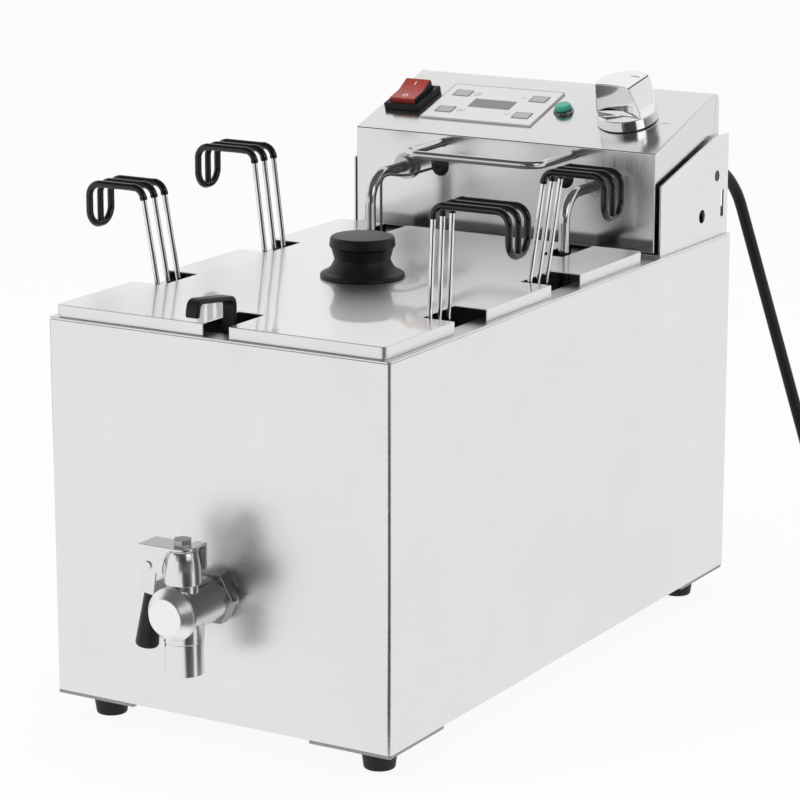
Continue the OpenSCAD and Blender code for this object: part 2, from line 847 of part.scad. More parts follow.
module lid_knob() color("black") place() translate([0, lid_knob_y, lid_top]) difference() {
    rotate_extrude() polygon([
        [0, 0],
        [lid_knob_d / 2, 0],
        [lid_knob_d / 2, 2.5],
        [lid_knob_d / 2 - 4, 3.6],
        [lid_knob_waist / 2 + 2, 6.8],
        [lid_knob_waist / 2, 10.5],
        [lid_knob_waist / 2, 12],
        [lid_knob_head / 2, lid_knob_h - 4],
        [lid_knob_head / 2, lid_knob_h - 3],
        [lid_knob_head / 2 - 1.5, lid_knob_h],
        [0, lid_knob_h]
    ]);
    translate([0, 0, -1]) cylinder(h = 15, d = 5.2);
}

module knob_screw() color("silver") place() translate([0, lid_knob_y, lid_low]) {
    translate([0, 0, -3]) cylinder(h = 3, d = 10);
    cylinder(h = 12, d = 5);
}

module strap_bar(w, t, z0, z1) {
    translate([-w / 2, strap_y - t / 2, z0]) cube([w, t, z1 - z0]);
}

module rack() color("silver") place() {
    difference() {
        union() {
            translate([-rack_w / 2, rack_front, rack_z]) cube([rack_w, rack_back - rack_front, rack_t]);
            translate([-strap_core_w / 2, strap_y - strap_core_t / 2, rack_z])
                cube([strap_core_w, rack_front - strap_y + 5, rack_t]);
            strap_bar(strap_core_w, strap_core_t, rack_z, sleeve_z);
        }
        for (i = [-3 : 3]) {
            for (k = [-4 : 4]) {
                translate([rack_w * i / 7.6, rack_mid + (rack_back - rack_front) * k / 9.8, rack_z])
                    cylinder(h = 10, d = rack_hole_d, center = true);
            }
        }
    }
    for (sx = [-1, 1]) {
        for (y = [rack_front + 5, rack_back - 5]) {
            translate([sx * (rack_w / 2 - 5), y, tank_floor]) cylinder(h = rack_h, d = 6);
        }
    }
}

module rack_grip() color("black") place() {
    tip = strap_y - strap_reach;
    tip_z = strap_z + strap_slope;
    across(strap_w) polygon([
        [strap_y + strap_t / 2, sleeve_z],
        [strap_y + strap_t / 2, strap_z - 6],
        [strap_y + strap_t / 2 - 1, strap_z - 3],
        [strap_y + strap_t / 2 - 3, strap_z - 0.9],
        [strap_y + strap_t / 2 - 6, strap_z],
        [tip - strap_t / 2 + 6, tip_z],
        [tip - strap_t / 2 + 3, tip_z - 0.9],
        [tip - strap_t / 2 + 1, tip_z - 3],
        [tip - strap_t / 2, tip_z - 6],
        [tip - strap_t / 2 - 1, tip_z - strap_drop],
        [tip + strap_t / 2 - 1, tip_z - strap_drop],
        [tip + strap_t / 2 + 0.6, tip_z - strap_t - 2],
        [tip + strap_t / 2 + 2.6, tip_z - strap_t],
        [strap_y - strap_t / 2 - 2.6, strap_z - strap_t],
        [strap_y - strap_t / 2 - 0.6, strap_z - strap_t - 2],
        [strap_y - strap_t / 2, strap_z - strap_t - 4],
        [strap_y - strap_t / 2, sleeve_z]
    ]);
}

module slotted(l, h, n) {
    difference() {
        cube([l, basket_t, h]);
        for (k = [0 : n - 1]) {
            translate([l * (k + 0.7) / (n + 0.4) - 2, -1, 14]) cube([4, 4, h - 24]);
        }
    }
}

// A basket on the right-hand side with the upright lengths of its handle wires
module basket_body(y) {
    translate([basket_gap / 2, y - basket_l / 2, basket_z]) {
        difference() {
            cube([basket_w, basket_l, basket_t]);
            for (k = [0 : 7]) {
                translate([basket_w * (k + 0.8) / 8.6 - 2, 12, -1]) cube([4, basket_l - 24, 4]);
            }
        }
        translate([0, 0, basket_t]) slotted(basket_w, basket_h - basket_t, 8);
        translate([0, basket_l - basket_t, basket_t]) slotted(basket_w, basket_h - basket_t, 8);
        for (x = [basket_t, basket_w]) {
            translate([x, 0, basket_t]) rotate([0, 0, 90]) slotted(basket_l, basket_h - basket_t, 10);
        }
    }
    for (k = [-1 : 1]) {
        translate([wire_x, y + k * wire_pitch, wire_low])
            cylinder(h = lean_z - knee_gap - wire_low, d = wire_d);
        translate([wire_x, y + k * wire_pitch, lean_z]) sphere(d = knee_d);
    }
    for (z = [wire_low + 8, basket_z + basket_h - 6]) {
        translate([basket_out, y - wire_pitch - 6, z - 3]) cube([clip_t, 2 * wire_pitch + 12, 6]);
    }
}

// Ends and directions of one wire's leaning length and bend, from a handle's place, lean and height
function knee_at(h, k) = [wire_x, h[0] + k * wire_pitch, lean_z];
function corner_at(h, k) =
    [round(10 * (wire_x + (h[2] - lean_z) * tan(h[1]))) / 10, h[0] + k * wire_pitch, h[2]];
function lean_of(h) = unit(corner_at(h, 0) - knee_at(h, 0));
function cut_of(h) = bend_cut(knee_at(h, 0), corner_at(h, 0), corner_at(h, 0) + [1, 0, 0], top_r);
function level_x(h) = corner_at(h, 0)[0] + cut_of(h);

// Leaning lengths of the three wires of a right-hand handle
module basket_handle(h) {
    for (k = [-1 : 1]) {
        rod(
            knee_at(h, k) + lean_of(h) * (knee_d / 2 + fit),
            corner_at(h, k) - lean_of(h) * (cut_of(h) + coat_l),
            wire_d
        );
    }
}

// Coated bend of one wire, with short sleeves where it meets the straight lengths
module coat_bend(h, k) {
    d1 = lean_of(h);
    n = unit([1, 0, 0] - d1 * d1[0]);
    start = corner_at(h, k) - d1 * cut_of(h);
    rod(start - d1 * coat_l, start - d1 * bend_gap, grip_d);
    rod(start - d1 * sleeve_l, start + d1 * sleeve_l, grip_d + sleeve_d);
    frame(-n, d1, cross(-n, d1), start + n * top_r)
        rotate_extrude(angle = corner_angle([0, 0, 0], d1, d1 + [1, 0, 0]))
            translate([top_r, 0]) circle(d = grip_d);
    translate([level_x(h) - sleeve_l, h[0] + k * wire_pitch, h[2]]) rotate([0, 90, 0])
        cylinder(h = 2 * sleeve_l, d = grip_d + sleeve_d);
}

// Coating of a right-hand handle: bends, two outer wires joined by a loop, and the middle wire
module basket_coat(h) {
    x0 = round(10 * (level_x(h) + bend_gap)) / 10;
    low = h[2] - handle_drop;
    y0 = h[0] - wire_pitch;
    y1 = h[0] + wire_pitch;
    for (k = [-1 : 1]) {
        coat_bend(h, k);
    }
    wire([
        [x0, y0, h[2]],
        [handle_x, y0, h[2]],
        [handle_x, y0, low],
        [handle_x, y1, low],
        [handle_x, y1, h[2]],
        [x0, y1, h[2]]
    ], grip_d, [drop_r, loop_r, loop_r, drop_r]);
    wire([
        [x0, h[0], h[2]],
        [handle_x, h[0], h[2]],
        [handle_x, h[0], low]
    ], grip_d - 0.4, [drop_r]);
}

module left() {
    mirror([1, 0, 0]) children();
}

module basket_front_left() color("silver") place() left() basket_body(basket_front_y);
module basket_rear_left() color("silver") place() left() basket_body(basket_rear_y);
module basket_front_right() color("silver") place() basket_body(basket_front_y);
module basket_rear_right() color("silver") place() basket_body(basket_rear_y);
module handle_front_left() color("silver") place() left() basket_handle(front_left);
module handle_rear_left() color("silver") place() left() basket_handle(rear_left);
module handle_front_right() color("silver") place() basket_handle(front_right);
module handle_rear_right() color("silver") place() basket_handle(rear_right);
module grip_front_left() color("black") place() left() basket_coat(front_left);
module grip_rear_left() color("black") place() left() basket_coat(rear_left);
module grip_front_right() color("black") place() basket_coat(front_right);
module grip_rear_right() color("black") place() basket_coat(rear_right);

module head_cradle() color("silver") place() {
    for (s = [0, 1]) {
        mirror([s, 0, 0]) difference() {
            union() {
                translate([cradle_in, 0, 0]) rotate([90, 0, 90]) linear_extrude(cradle_t) polygon([
                    [cradle_front, casing_h],
                    [cradle_front, casing_h + cradle_front_h],
                    [cradle_back - 24, casing_h + cradle_rear_h],
                    [cradle_back, casing_h + cradle_rear_h],
                    [cradle_back, casing_h]
                ]);
                translate([cradle_in - flange_w, cradle_front, casing_h])
                    cube([flange_w, cradle_back - cradle_front, cradle_t]);
            }
            translate([0, pivot_y, pivot_z]) rotate([0, 90, 0]) cylinder(h = casing_w, d = pivot_d + 2 * fit);
            translate([0, pivot_y - 25, casing_h + 19]) rotate([0, 90, 0]) cylinder(h = casing_w, d = 10);
            translate([cradle_in - 1, cradle_back - 12, casing_h + 14]) cube([10, 5, 20]);
            for (y = [cradle_front + screw_in, cradle_back - screw_rear]) {
                translate([cradle_in - flange_w / 2, y, casing_h])
                    cylinder(h = 10, d = screw_d, center = true);
            }
        }
    }
    translate([-cradle_in, cradle_back - cradle_t, casing_h]) cube([2 * cradle_in, cradle_t, cradle_lip]);
}

module pivot_pins() color("gray") place() {
    for (s = [0, 1]) {
        mirror([s, 0, 0]) translate([head_w / 2 - sheet - pivot_head_t, pivot_y, pivot_z])
            rotate([0, 90, 0]) {
                cylinder(h = pivot_head_t, d = pivot_head_d);
                cylinder(h = pivot_head_t + sheet + cradle_gap + cradle_t - free, d = pivot_d);
            }
    }
}

// Side outline of the head, moved in by the thickness given
module head_side(in, low) {
    y0 = head_front + in;
    y1 = head_back_y - in;
    z0 = head_top + in * tan(panel_slope) - in / cos(panel_slope);
    z1 = z0 + (y1 - y0) * tan(panel_slope);
    r = top_bend - in;
    t = r / tan((90 - panel_slope) / 2);
    bend = [for (i = [0 : bend_steps])
        let (q = (90 + panel_slope) * (1 - i / bend_steps))
        [y1 - r + r * cos(q), z1 - t + r * sin(q)]];
    polygon(concat([[y0, low], [y0, z0]], bend, [[y1, low]]));
}

module head_shell() color("lightgray") place() difference() {
    across(head_w) head_side(0, head_low);
    across(head_w - 2 * sheet) head_side(sheet, head_low - 1);
    translate([sheet - head_w / 2, head_back_y - 20, head_low - 1])
        cube([head_w - 2 * sheet, 40, head_rear_top - return_h - head_low + 1]);
    for (s = [-1, 1]) {
        translate([s * arm_x, head_front - 1, arm_z]) rotate([-90, 0, 0])
            cylinder(h = 10, d = thread_d + 2 * fit);
        translate([s * grommet_x, head_front - 1, grommet_z]) rotate([-90, 0, 0])
            cylinder(h = 10, d = grommet_neck + 2 * fit);
        translate([rail_x + s * rail_w / 2, head_front - 1, rail_z]) rotate([-90, 0, 0])
            cylinder(h = 10, d = rail_d + 2 * fit);
    }
    translate([0, pivot_y, pivot_z]) rotate([0, 90, 0])
        cylinder(h = casing_w, d = pivot_d + 2 * fit, center = true);
    on_panel(switch_x, switch_u) block(switch_w - 4 + 2 * fit, switch_l - 4 + 2 * fit, -5, 5);
    on_panel(lamp_x, lamp_u) cylinder(h = 10, d = 12 + 2 * fit, center = true);
    on_panel(dial_x, dial_u) cylinder(h = 10, d = shaft_d + 2 * free, center = true);
}

module head_back() color("silver") place() difference() {
    union() {
        translate([sheet + fit - head_w / 2, head_front + sheet + fit, head_low])
            cube([head_w - 2 * sheet - 2 * fit, gland_y - head_front - sheet - fit, sheet]);
        translate([sheet + fit - head_w / 2, gland_y - sheet, head_low])
            cube([head_w - 2 * sheet - 2 * fit, sheet, head_rear_top - top_bend * 2 - 4 - head_low]);
    }
    for (k = [0 : 5]) {
        translate([-louvre_x, gland_y, head_low + louvre_up + louvre_step * k])
            cube([louvre_w, louvre_step, louvre_h], center = true);
    }
}

module drain_rail() color("silver") place() {
    x0 = rail_x - rail_w / 2;
    x1 = rail_x + rail_w / 2;
    inner = head_front + sheet;
    wire([
        [x0, inner + 8, rail_z],
        [x0, rail_y, rail_z],
        [x1, rail_y, rail_z],
        [x1, inner + 8, rail_z]
    ], rail_d, [12, 12]);
    for (x = [x0, x1]) {
        translate([x, inner, rail_z]) rotate([-90, 0, 0]) cylinder(h = 4, d = rail_d + 3);
    }
}

module heating_element() color("gray") place() {
    y0 = rack_front + 48;
    y1 = arm_y - 50;
    inner = head_front + 22;
    wire([
        [arm_x, inner, arm_z],
        [arm_x, arm_y, arm_z],
        [arm_x, arm_y, element_z],
        [arm_x, y0, element_z],
        [arm_x / 3, y0, element_z],
        [arm_x / 3, y1, element_z],
        [-arm_x / 3, y1, element_z],
        [-arm_x / 3, y0, element_z],
        [-arm_x, y0, element_z],
        [-arm_x, arm_y, element_z],
        [-arm_x, arm_y, arm_z],
        [-arm_x, inner, arm_z]
    ], element_d, [for (i = [1 : 10]) arm_r]);
}

module element_glands() color("silver") place() {
    for (s = [-1, 1]) {
        translate([s * arm_x, head_front, arm_z]) rotate([-90, 0, 0]) difference() {
            union() {
                translate([0, 0, -flange_t]) cylinder(h = flange_t, d = flange_d);
                translate([0, 0, -neck_l]) cylinder(h = neck_l, d = neck_d);
                translate([0, 0, -eps]) cylinder(h = thread_l, d = thread_d);
                translate([0, 0, sheet]) cylinder(h = lock_nut_t, d = lock_nut_d, $fn = 6);
            }
            cylinder(h = 4 * thread_l, d = element_d + 2 * fit, center = true);
        }
    }
}

module grommets() color("black") place() {
    for (s = [-1, 1]) {
        translate([s * grommet_x, head_front, grommet_z]) rotate([-90, 0, 0]) difference() {
            union() {
                translate([0, 0, -grommet_t]) cylinder(h = grommet_t, d1 = grommet_neck - 1, d2 = grommet_d);
                translate([0, 0, -eps]) cylinder(h = sheet + grommet_t / 2, d = grommet_neck);
                translate([0, 0, sheet]) cylinder(h = grommet_t / 2, d = grommet_d - 1);
            }
            if (s < 0) {
                cylinder(h = 4 * grommet_t, d = capillary_d + 2 * fit, center = true);
            }
        }
    }
}

module capillary() color("gray") place() {
    bulb_y = arm_y + 3;
    low = element_z + bulb_up;
    wire([
        [-grommet_x, head_front + 12, grommet_z],
        [-grommet_x, bulb_y, grommet_z],
        [-capillary_x, bulb_y, grommet_z],
        [-capillary_x, bulb_y, low + bulb_l - eps]
    ], capillary_d, [8, 8]);
    translate([-capillary_x, bulb_y, low]) cylinder(h = bulb_l, d = bulb_d);
}

module thermostat() color("tan") place() on_panel(dial_x, dial_u) difference() {
    union() {
        block(42, 34, -sheet - 30, -sheet - 4);
        translate([0, 0, -sheet - 4]) cylinder(h = 4, d = 22);
    }
    translate([0, 0, -sheet - 16]) cylinder(h = 30, d = shaft_d + 2 * fit);
}

module timer_board() color("darkgreen") place() on_panel(membrane_x, membrane_u) {
    block(membrane_w - 6, membrane_l - 6, -sheet - 9.6, -sheet - 8);
    for (x = [-1, 1]) {
        for (y = [-1, 1]) {
            translate([x * (membrane_w / 2 - 8), y * (membrane_l / 2 - 7), -sheet - 8])
                cylinder(h = 8, d = 5);
        }
    }
}

module key_places() {
    for (x = [-1, 1]) {
        for (y = [-1, 1]) {
            translate([x * button_dx, y * button_du, 0]) children();
        }
    }
}

module membrane_panel() color("white") place() on_panel(membrane_x, membrane_u) difference() {
    translate([-membrane_w / 2, -membrane_l / 2, 0]) linear_extrude(membrane_t)
        rounded(membrane_w, membrane_l, 1);
    key_places() block(button_w + 2 * free, button_l + 2 * free, -1, 5);
    block(display_w + 2 * fit, display_l + 2 * fit, -1, 5);
}

module display_window() color("dimgray") place() on_panel(membrane_x, membrane_u)
    block(display_w, display_l, 0, display_t);

module key(x, y) {
    place() on_panel(membrane_x + x * button_dx, membrane_u + y * button_du)
        block(button_w, button_l, button_low, button_low + button_h);
}

module button_1() color("gray") key(-1, 1);
module button_2() color("gray") key(1, 1);
module button_3() color("gray") key(-1, -1);
module button_4() color("gray") key(1, -1);

module lamp_bezel() color("silver") place() on_panel(lamp_x, lamp_u) difference() {
    union() {
        cylinder(h = 2, d1 = lamp_d, d2 = lamp_d - 1);
        translate([0, 0, -14]) cylinder(h = 15, d = 12);
        translate([0, 0, -sheet - 3]) cylinder(h = 3, d = 18, $fn = 6);
    }
    translate([0, 0, -10]) cylinder(h = 20, d = lamp_d - 6);
}

module lamp_lens() color("teal") place() on_panel(lamp_x, lamp_u) {
    translate([0, 0, -9]) cylinder(h = 11, d = lamp_d - 6 - 2 * fit);
    translate([0, 0, 2]) cylinder(h = 2.5, d = lamp_d - 3);
    translate([0, 0, 4.5]) cylinder(h = 1.5, d1 = lamp_d - 3, d2 = lamp_d - 6);
}

module switch_body() color("black") place() on_panel(switch_x, switch_u) difference() {
    union() {
        block(switch_w, switch_l, 0, bezel_h);
        block(switch_w - 4, switch_l - 4, -20, 1);
    }
    block(rocker_w + 1, rocker_l + 2, -8, 10);
    translate([0, 0, rocker_z]) rotate([0, 90, 0])
        cylinder(h = axle_l + 1, d = axle_d + 2 * fit, center = true);
}

module rocker() color("firebrick") place() on_panel(switch_x, switch_u) translate([0, 0, rocker_z])
    rotate([rocker_rest, 0, 0]) {
        across(rocker_w) polygon([
            [-rocker_l / 2, 0],
            [-rocker_l / 2, 7.5],
            [0, 5.6],
            [rocker_l / 2, 7.5],
            [rocker_l / 2, 0],
            [5, -5],
            [-5, -5]
        ]);
        rotate([0, 90, 0]) cylinder(h = axle_l, d = axle_d, center = true);
    }

module thermostat_knob() color("silver") place() on_panel(dial_x, dial_u) translate([0, 0, free + 0.2])
    rotate([0, 0, dial_turn]) difference() {
        union() {
            cylinder(h = dial_skirt, d1 = dial_d, d2 = dial_d - 1);
            difference() {
                translate([0, 0, dial_skirt - eps])
                    cylinder(h = dial_h - dial_skirt, d1 = dial_d - 1, d2 = dial_d - 4);
                translate([0, -dial_cut - dial_scoop, dial_skirt]) cylinder(h = dial_h, r = dial_scoop);
                translate([dial_d / 2, 0, dial_skirt]) rotate([0, -dial_bevel, 0])
                    translate([0, -dial_d, 0]) cube([dial_d, 2 * dial_d, 2 * dial_d]);
            }
        }
        translate([0, 0, -1]) cylinder(h = 14, d = shaft_d + 2 * fit);
    }

module knob_shaft() color("gray") place() on_panel(dial_x, dial_u)
    translate([0, 0, -sheet - 15]) cylinder(h = sheet + 15 + 11, d = shaft_d);

module cable_gland() color("black") place() translate([gland_x, gland_y, gland_z]) rotate([-90, 0, 0]) {
    cylinder(h = gland_t, d = gland_d);
    translate([0, 0, gland_t]) cylinder(h = gland_l - gland_t, d1 = gland_d - 6, d2 = cord_d + 2);
}

stretch = let (
        first = arc_points(cord_route[0], cord_route[1], cord_route[2], cord_bend[0], 6),
        second = arc_points(cord_route[1], cord_route[2], cord_route[3], cord_bend[1], 6)
    )
    concat(
        [cord_route[0]],
        first,
        line_points(first[6], second[0], 12),
        second,
        line_points(second[6], cord_route[3], 3),
        [cord_route[3]]
    );

// The coil winds inwards, climbs a layer around its turning point and winds outwards
function coil_point(k) =
    let (
        r = coil_r - turn_step * (k < coil_turns ? k : 2 * coil_turns - k),
        up = min(1, max(0, (k - coil_turns + 0.25) * 2)),
        q = 90 - 360 * k
    )
    [coil_x + r * cos(q), coil_y + r * sin(q), coil_low + layer_step * up];

coil_steps = ceil(2 * coil_turns * coil_rings);
coil_run = [for (i = [0 : coil_steps]) coil_point(2 * coil_turns * i / coil_steps)];
coil_out = let (d = coil_run[coil_steps] - coil_run[coil_steps - 1]) unit([d[0], d[1], 0]);
coil_end = coil_run[coil_steps] + coil_out * coil_tail;
coil_path = concat(
    coil_run,
    line_points(coil_run[coil_steps], coil_end, 3),
    [coil_end]
);
coil_gap = min([for (i = [0 : len(coil_path) - 1]) for (k = [i + 12 : 1 : len(coil_path) - 1])
    norm(coil_path[i] - coil_path[k])]) - cord_d;
echo(coil_gap = coil_gap);
echo(cord_length = gland_l + path_length(stretch) + path_length(coil_path));

module cord() color("black") place() tube(stretch, cord_r, 10);

module cord_coil() color("black") place() tube(coil_path, cord_r, 6);

module cord_tie() color("dimgray") place() translate([coil_x, coil_y, -foot_h]) rotate([0, 0, 225]) {
    r0 = coil_r - turn_step * coil_turns - cord_r - 1;
    r1 = coil_r + cord_r + 1;
    top = 2 * tie_t + 2 * free + cord_d + layer_step;
    difference() {
        translate([r0 - tie_t, -6, 0]) cube([r1 - r0 + 2 * tie_t, 12, top]);
        translate([r0, -7, tie_t]) cube([r1 - r0, 14, top - 2 * tie_t]);
    }
}

module plug() color("black") place()
    frame(cross(coil_out, [0, 0, 1]), [0, 0, 1], coil_out, coil_end) {
        cylinder(h = 26, d1 = cord_d + 2, d2 = 17);
        translate([0, 0, 26]) cylinder(h = 8, d1 = 17, d2 = plug_d);
        translate([0, 0, 34]) cylinder(h = 28, d = plug_d);
        for (s = [-1, 1]) {
            translate([s * 9.5, 0, 62]) cylinder(h = 19, d = 4.8);
        }
    }

outer_casing();
rear_panel();
corner_plates();
rubber_feet();
screws();
tank();
tank_base();
tank_rim();
rear_deck();
drain_pipe();
drain_nut();
tap_body();
tap_spout();
tap_end_cap();
ball_seats();
tap_bonnet();
valve_ball();
valve_stem();
handle_bracket();
bracket_bolt();
lever();
lever_grip();
lid();
lid_knob();
knob_screw();
rack();
rack_grip();
basket_front_left();
basket_rear_left();
basket_front_right();
basket_rear_right();
handle_front_left();
handle_rear_left();
handle_front_right();
handle_rear_right();
grip_front_left();
grip_rear_left();
grip_front_right();
grip_rear_right();
head_cradle();
pivot_pins();
head_shell();
head_back();
drain_rail();
heating_element();
element_glands();
grommets();
capillary();
thermostat();
timer_board();
membrane_panel();
display_window();
button_1();
button_2();
button_3();
button_4();
lamp_bezel();
lamp_lens();
switch_body();
rocker();
thermostat_knob();
knob_shaft();
cable_gland();
cord();
cord_coil();
cord_tie();
plug();
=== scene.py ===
import json
import math

import bmesh
import bpy
import numpy as np
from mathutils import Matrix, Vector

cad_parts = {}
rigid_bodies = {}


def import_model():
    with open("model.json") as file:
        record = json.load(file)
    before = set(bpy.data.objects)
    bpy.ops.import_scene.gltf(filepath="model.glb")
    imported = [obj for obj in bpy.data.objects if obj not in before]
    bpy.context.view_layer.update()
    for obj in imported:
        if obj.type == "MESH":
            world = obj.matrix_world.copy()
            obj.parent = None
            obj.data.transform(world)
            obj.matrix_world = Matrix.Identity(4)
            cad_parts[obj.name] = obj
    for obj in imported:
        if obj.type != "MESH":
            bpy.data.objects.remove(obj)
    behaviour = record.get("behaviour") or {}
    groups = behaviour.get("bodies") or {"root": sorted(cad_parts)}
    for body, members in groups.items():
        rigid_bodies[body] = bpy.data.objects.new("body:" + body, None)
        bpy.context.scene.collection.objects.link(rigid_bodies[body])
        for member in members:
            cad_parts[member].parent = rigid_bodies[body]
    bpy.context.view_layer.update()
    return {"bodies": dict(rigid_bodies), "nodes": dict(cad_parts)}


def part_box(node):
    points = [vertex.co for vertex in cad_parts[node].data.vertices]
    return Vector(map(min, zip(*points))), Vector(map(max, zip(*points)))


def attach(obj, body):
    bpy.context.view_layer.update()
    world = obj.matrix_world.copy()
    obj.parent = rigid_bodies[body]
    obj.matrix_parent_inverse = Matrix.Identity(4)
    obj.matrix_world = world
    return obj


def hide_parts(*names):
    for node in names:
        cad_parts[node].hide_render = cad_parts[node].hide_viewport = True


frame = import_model()
nodes = frame["nodes"]
scene = bpy.context.scene

# Camera: the three-quarter view from the front right, 31 degrees round from the front and 14
# degrees above, with a long lens.
look_down, look_round = 13.823, 30.608
camera = bpy.data.objects.new("camera", bpy.data.cameras.new("camera"))
camera.data.sensor_width = 36.0
camera.data.lens = 144.0
camera.location = (1.1284, -1.8919, 0.7356)
camera.rotation_euler = (math.radians(90 - look_down), 0.0, math.radians(look_round))
scene.collection.objects.link(camera)
scene.camera = camera

# Floor: a plain white studio floor. It is white to the camera and in the metal, and keeps a
# faint shadow under the machine.
floor_half, floor_z = 6, -0.0002
floor_mesh = bpy.data.meshes.new("floor")
floor_mesh.from_pydata(
    [(x * floor_half, y * floor_half, floor_z) for x, y in ((-1, -1), (1, -1), (1, 1), (-1, 1))],
    [],
    [(0, 1, 2, 3)],
)
floor = bpy.data.objects.new("floor", floor_mesh)
scene.collection.objects.link(floor)
floor_white = bpy.data.materials.new("floor_white")
floor_white.use_nodes = True
tree = floor_white.node_tree
tree.nodes.clear()
out = tree.nodes.new("ShaderNodeOutputMaterial")
chalk = tree.nodes.new("ShaderNodeBsdfDiffuse")
chalk.inputs["Color"].default_value = (0.84, 0.84, 0.84, 1)
glow = tree.nodes.new("ShaderNodeEmission")
glow.inputs["Color"].default_value = (1, 1, 1, 1)
path = tree.nodes.new("ShaderNodeLightPath")
metal_or_glass = tree.nodes.new("ShaderNodeMath")
metal_or_glass.operation = "MAXIMUM"
seen = tree.nodes.new("ShaderNodeMath")
seen.operation = "MAXIMUM"
share = tree.nodes.new("ShaderNodeMath")
share.operation = "MULTIPLY"
share.inputs[1].default_value = 0.92
mix = tree.nodes.new("ShaderNodeMixShader")
tree.links.new(path.outputs["Is Glossy Ray"], metal_or_glass.inputs[0])
tree.links.new(path.outputs["Is Transmission Ray"], metal_or_glass.inputs[1])
tree.links.new(path.outputs["Is Camera Ray"], seen.inputs[0])
tree.links.new(metal_or_glass.outputs["Value"], seen.inputs[1])
tree.links.new(seen.outputs["Value"], share.inputs[0])
tree.links.new(share.outputs["Value"], mix.inputs["Fac"])
tree.links.new(chalk.outputs["BSDF"], mix.inputs[1])
tree.links.new(glow.outputs["Emission"], mix.inputs[2])
tree.links.new(mix.outputs["Shader"], out.inputs["Surface"])
floor_mesh.materials.append(floor_white)

# Surroundings: white behind the machine. The metal sees white walls under a dark ceiling that
# comes down towards the front and the right, and everything else gets an even pale light.
world = bpy.data.worlds.new("studio")
scene.world = world
world.use_nodes = True
tree = world.node_tree
tree.nodes.clear()
out = tree.nodes.new("ShaderNodeOutputWorld")
room = tree.nodes.new("ShaderNodeBackground")
room.inputs["Color"].default_value = (1, 1, 1, 1)
direction = tree.nodes.new("ShaderNodeTexCoord")
axes = tree.nodes.new("ShaderNodeSeparateXYZ")
tilt = tree.nodes.new("ShaderNodeMath")
tilt.operation = "MULTIPLY_ADD"
tilt.inputs[1].default_value = -0.35
lean = tree.nodes.new("ShaderNodeMath")
lean.operation = "MULTIPLY_ADD"
lean.inputs[1].default_value = 0.25
ceiling = tree.nodes.new("ShaderNodeMapRange")
ceiling.interpolation_type = "SMOOTHSTEP"
ceiling.inputs["From Min"].default_value = 0.44
ceiling.inputs["From Max"].default_value = 0.60
ceiling.inputs["To Min"].default_value = 1.0
ceiling.inputs["To Max"].default_value = 0.12
path = tree.nodes.new("ShaderNodeLightPath")
metal_or_glass = tree.nodes.new("ShaderNodeMath")
metal_or_glass.operation = "MAXIMUM"
walls = tree.nodes.new("ShaderNodeMix")
walls.data_type = "FLOAT"
walls.inputs["A"].default_value = 0.62
backdrop = tree.nodes.new("ShaderNodeMix")
backdrop.data_type = "FLOAT"
backdrop.inputs["B"].default_value = 1.0
tree.links.new(direction.outputs["Generated"], axes.inputs["Vector"])
tree.links.new(axes.outputs["Y"], tilt.inputs[0])
tree.links.new(axes.outputs["Z"], tilt.inputs[2])
tree.links.new(axes.outputs["X"], lean.inputs[0])
tree.links.new(tilt.outputs["Value"], lean.inputs[2])
tree.links.new(lean.outputs["Value"], ceiling.inputs["Value"])
tree.links.new(path.outputs["Is Glossy Ray"], metal_or_glass.inputs[0])
tree.links.new(path.outputs["Is Transmission Ray"], metal_or_glass.inputs[1])
tree.links.new(metal_or_glass.outputs["Value"], walls.inputs["Factor"])
tree.links.new(ceiling.outputs["Result"], walls.inputs["B"])
tree.links.new(path.outputs["Is Camera Ray"], backdrop.inputs["Factor"])
tree.links.new(walls.outputs["Result"], backdrop.inputs["A"])
tree.links.new(backdrop.outputs["Result"], room.inputs["Strength"])
tree.links.new(room.outputs["Background"], out.inputs["Surface"])
scene.view_settings.view_transform = "Standard"

# Lights: a large soft box over the front left, a weaker one on the right and one on top, all aimed
# at the machine. Only the one on the right shows in the metal.
lamp_aim = (0, 0, 0.2)
for name, place, size, power in (
    ("key", (-1.3, -1.6, 1.7), 1.3, 18),
    ("fill", (2.0, -0.6, 1.2), 1.2, 7),
    ("top", (0.1, 0.3, 2.0), 1.6, 10),
):
    lamp = bpy.data.objects.new(name, bpy.data.lights.new(name, "AREA"))
    lamp.data.size = size
    lamp.data.energy = power
    lamp.location = place
    away = np.array(place) - lamp_aim
    lamp.rotation_euler = (
        math.acos(away[2] / np.linalg.norm(away)),
        0.0,
        math.atan2(away[1], away[0]) + math.pi / 2,
    )
    lamp.visible_glossy = name == "fill"
    scene.collection.objects.link(lamp)

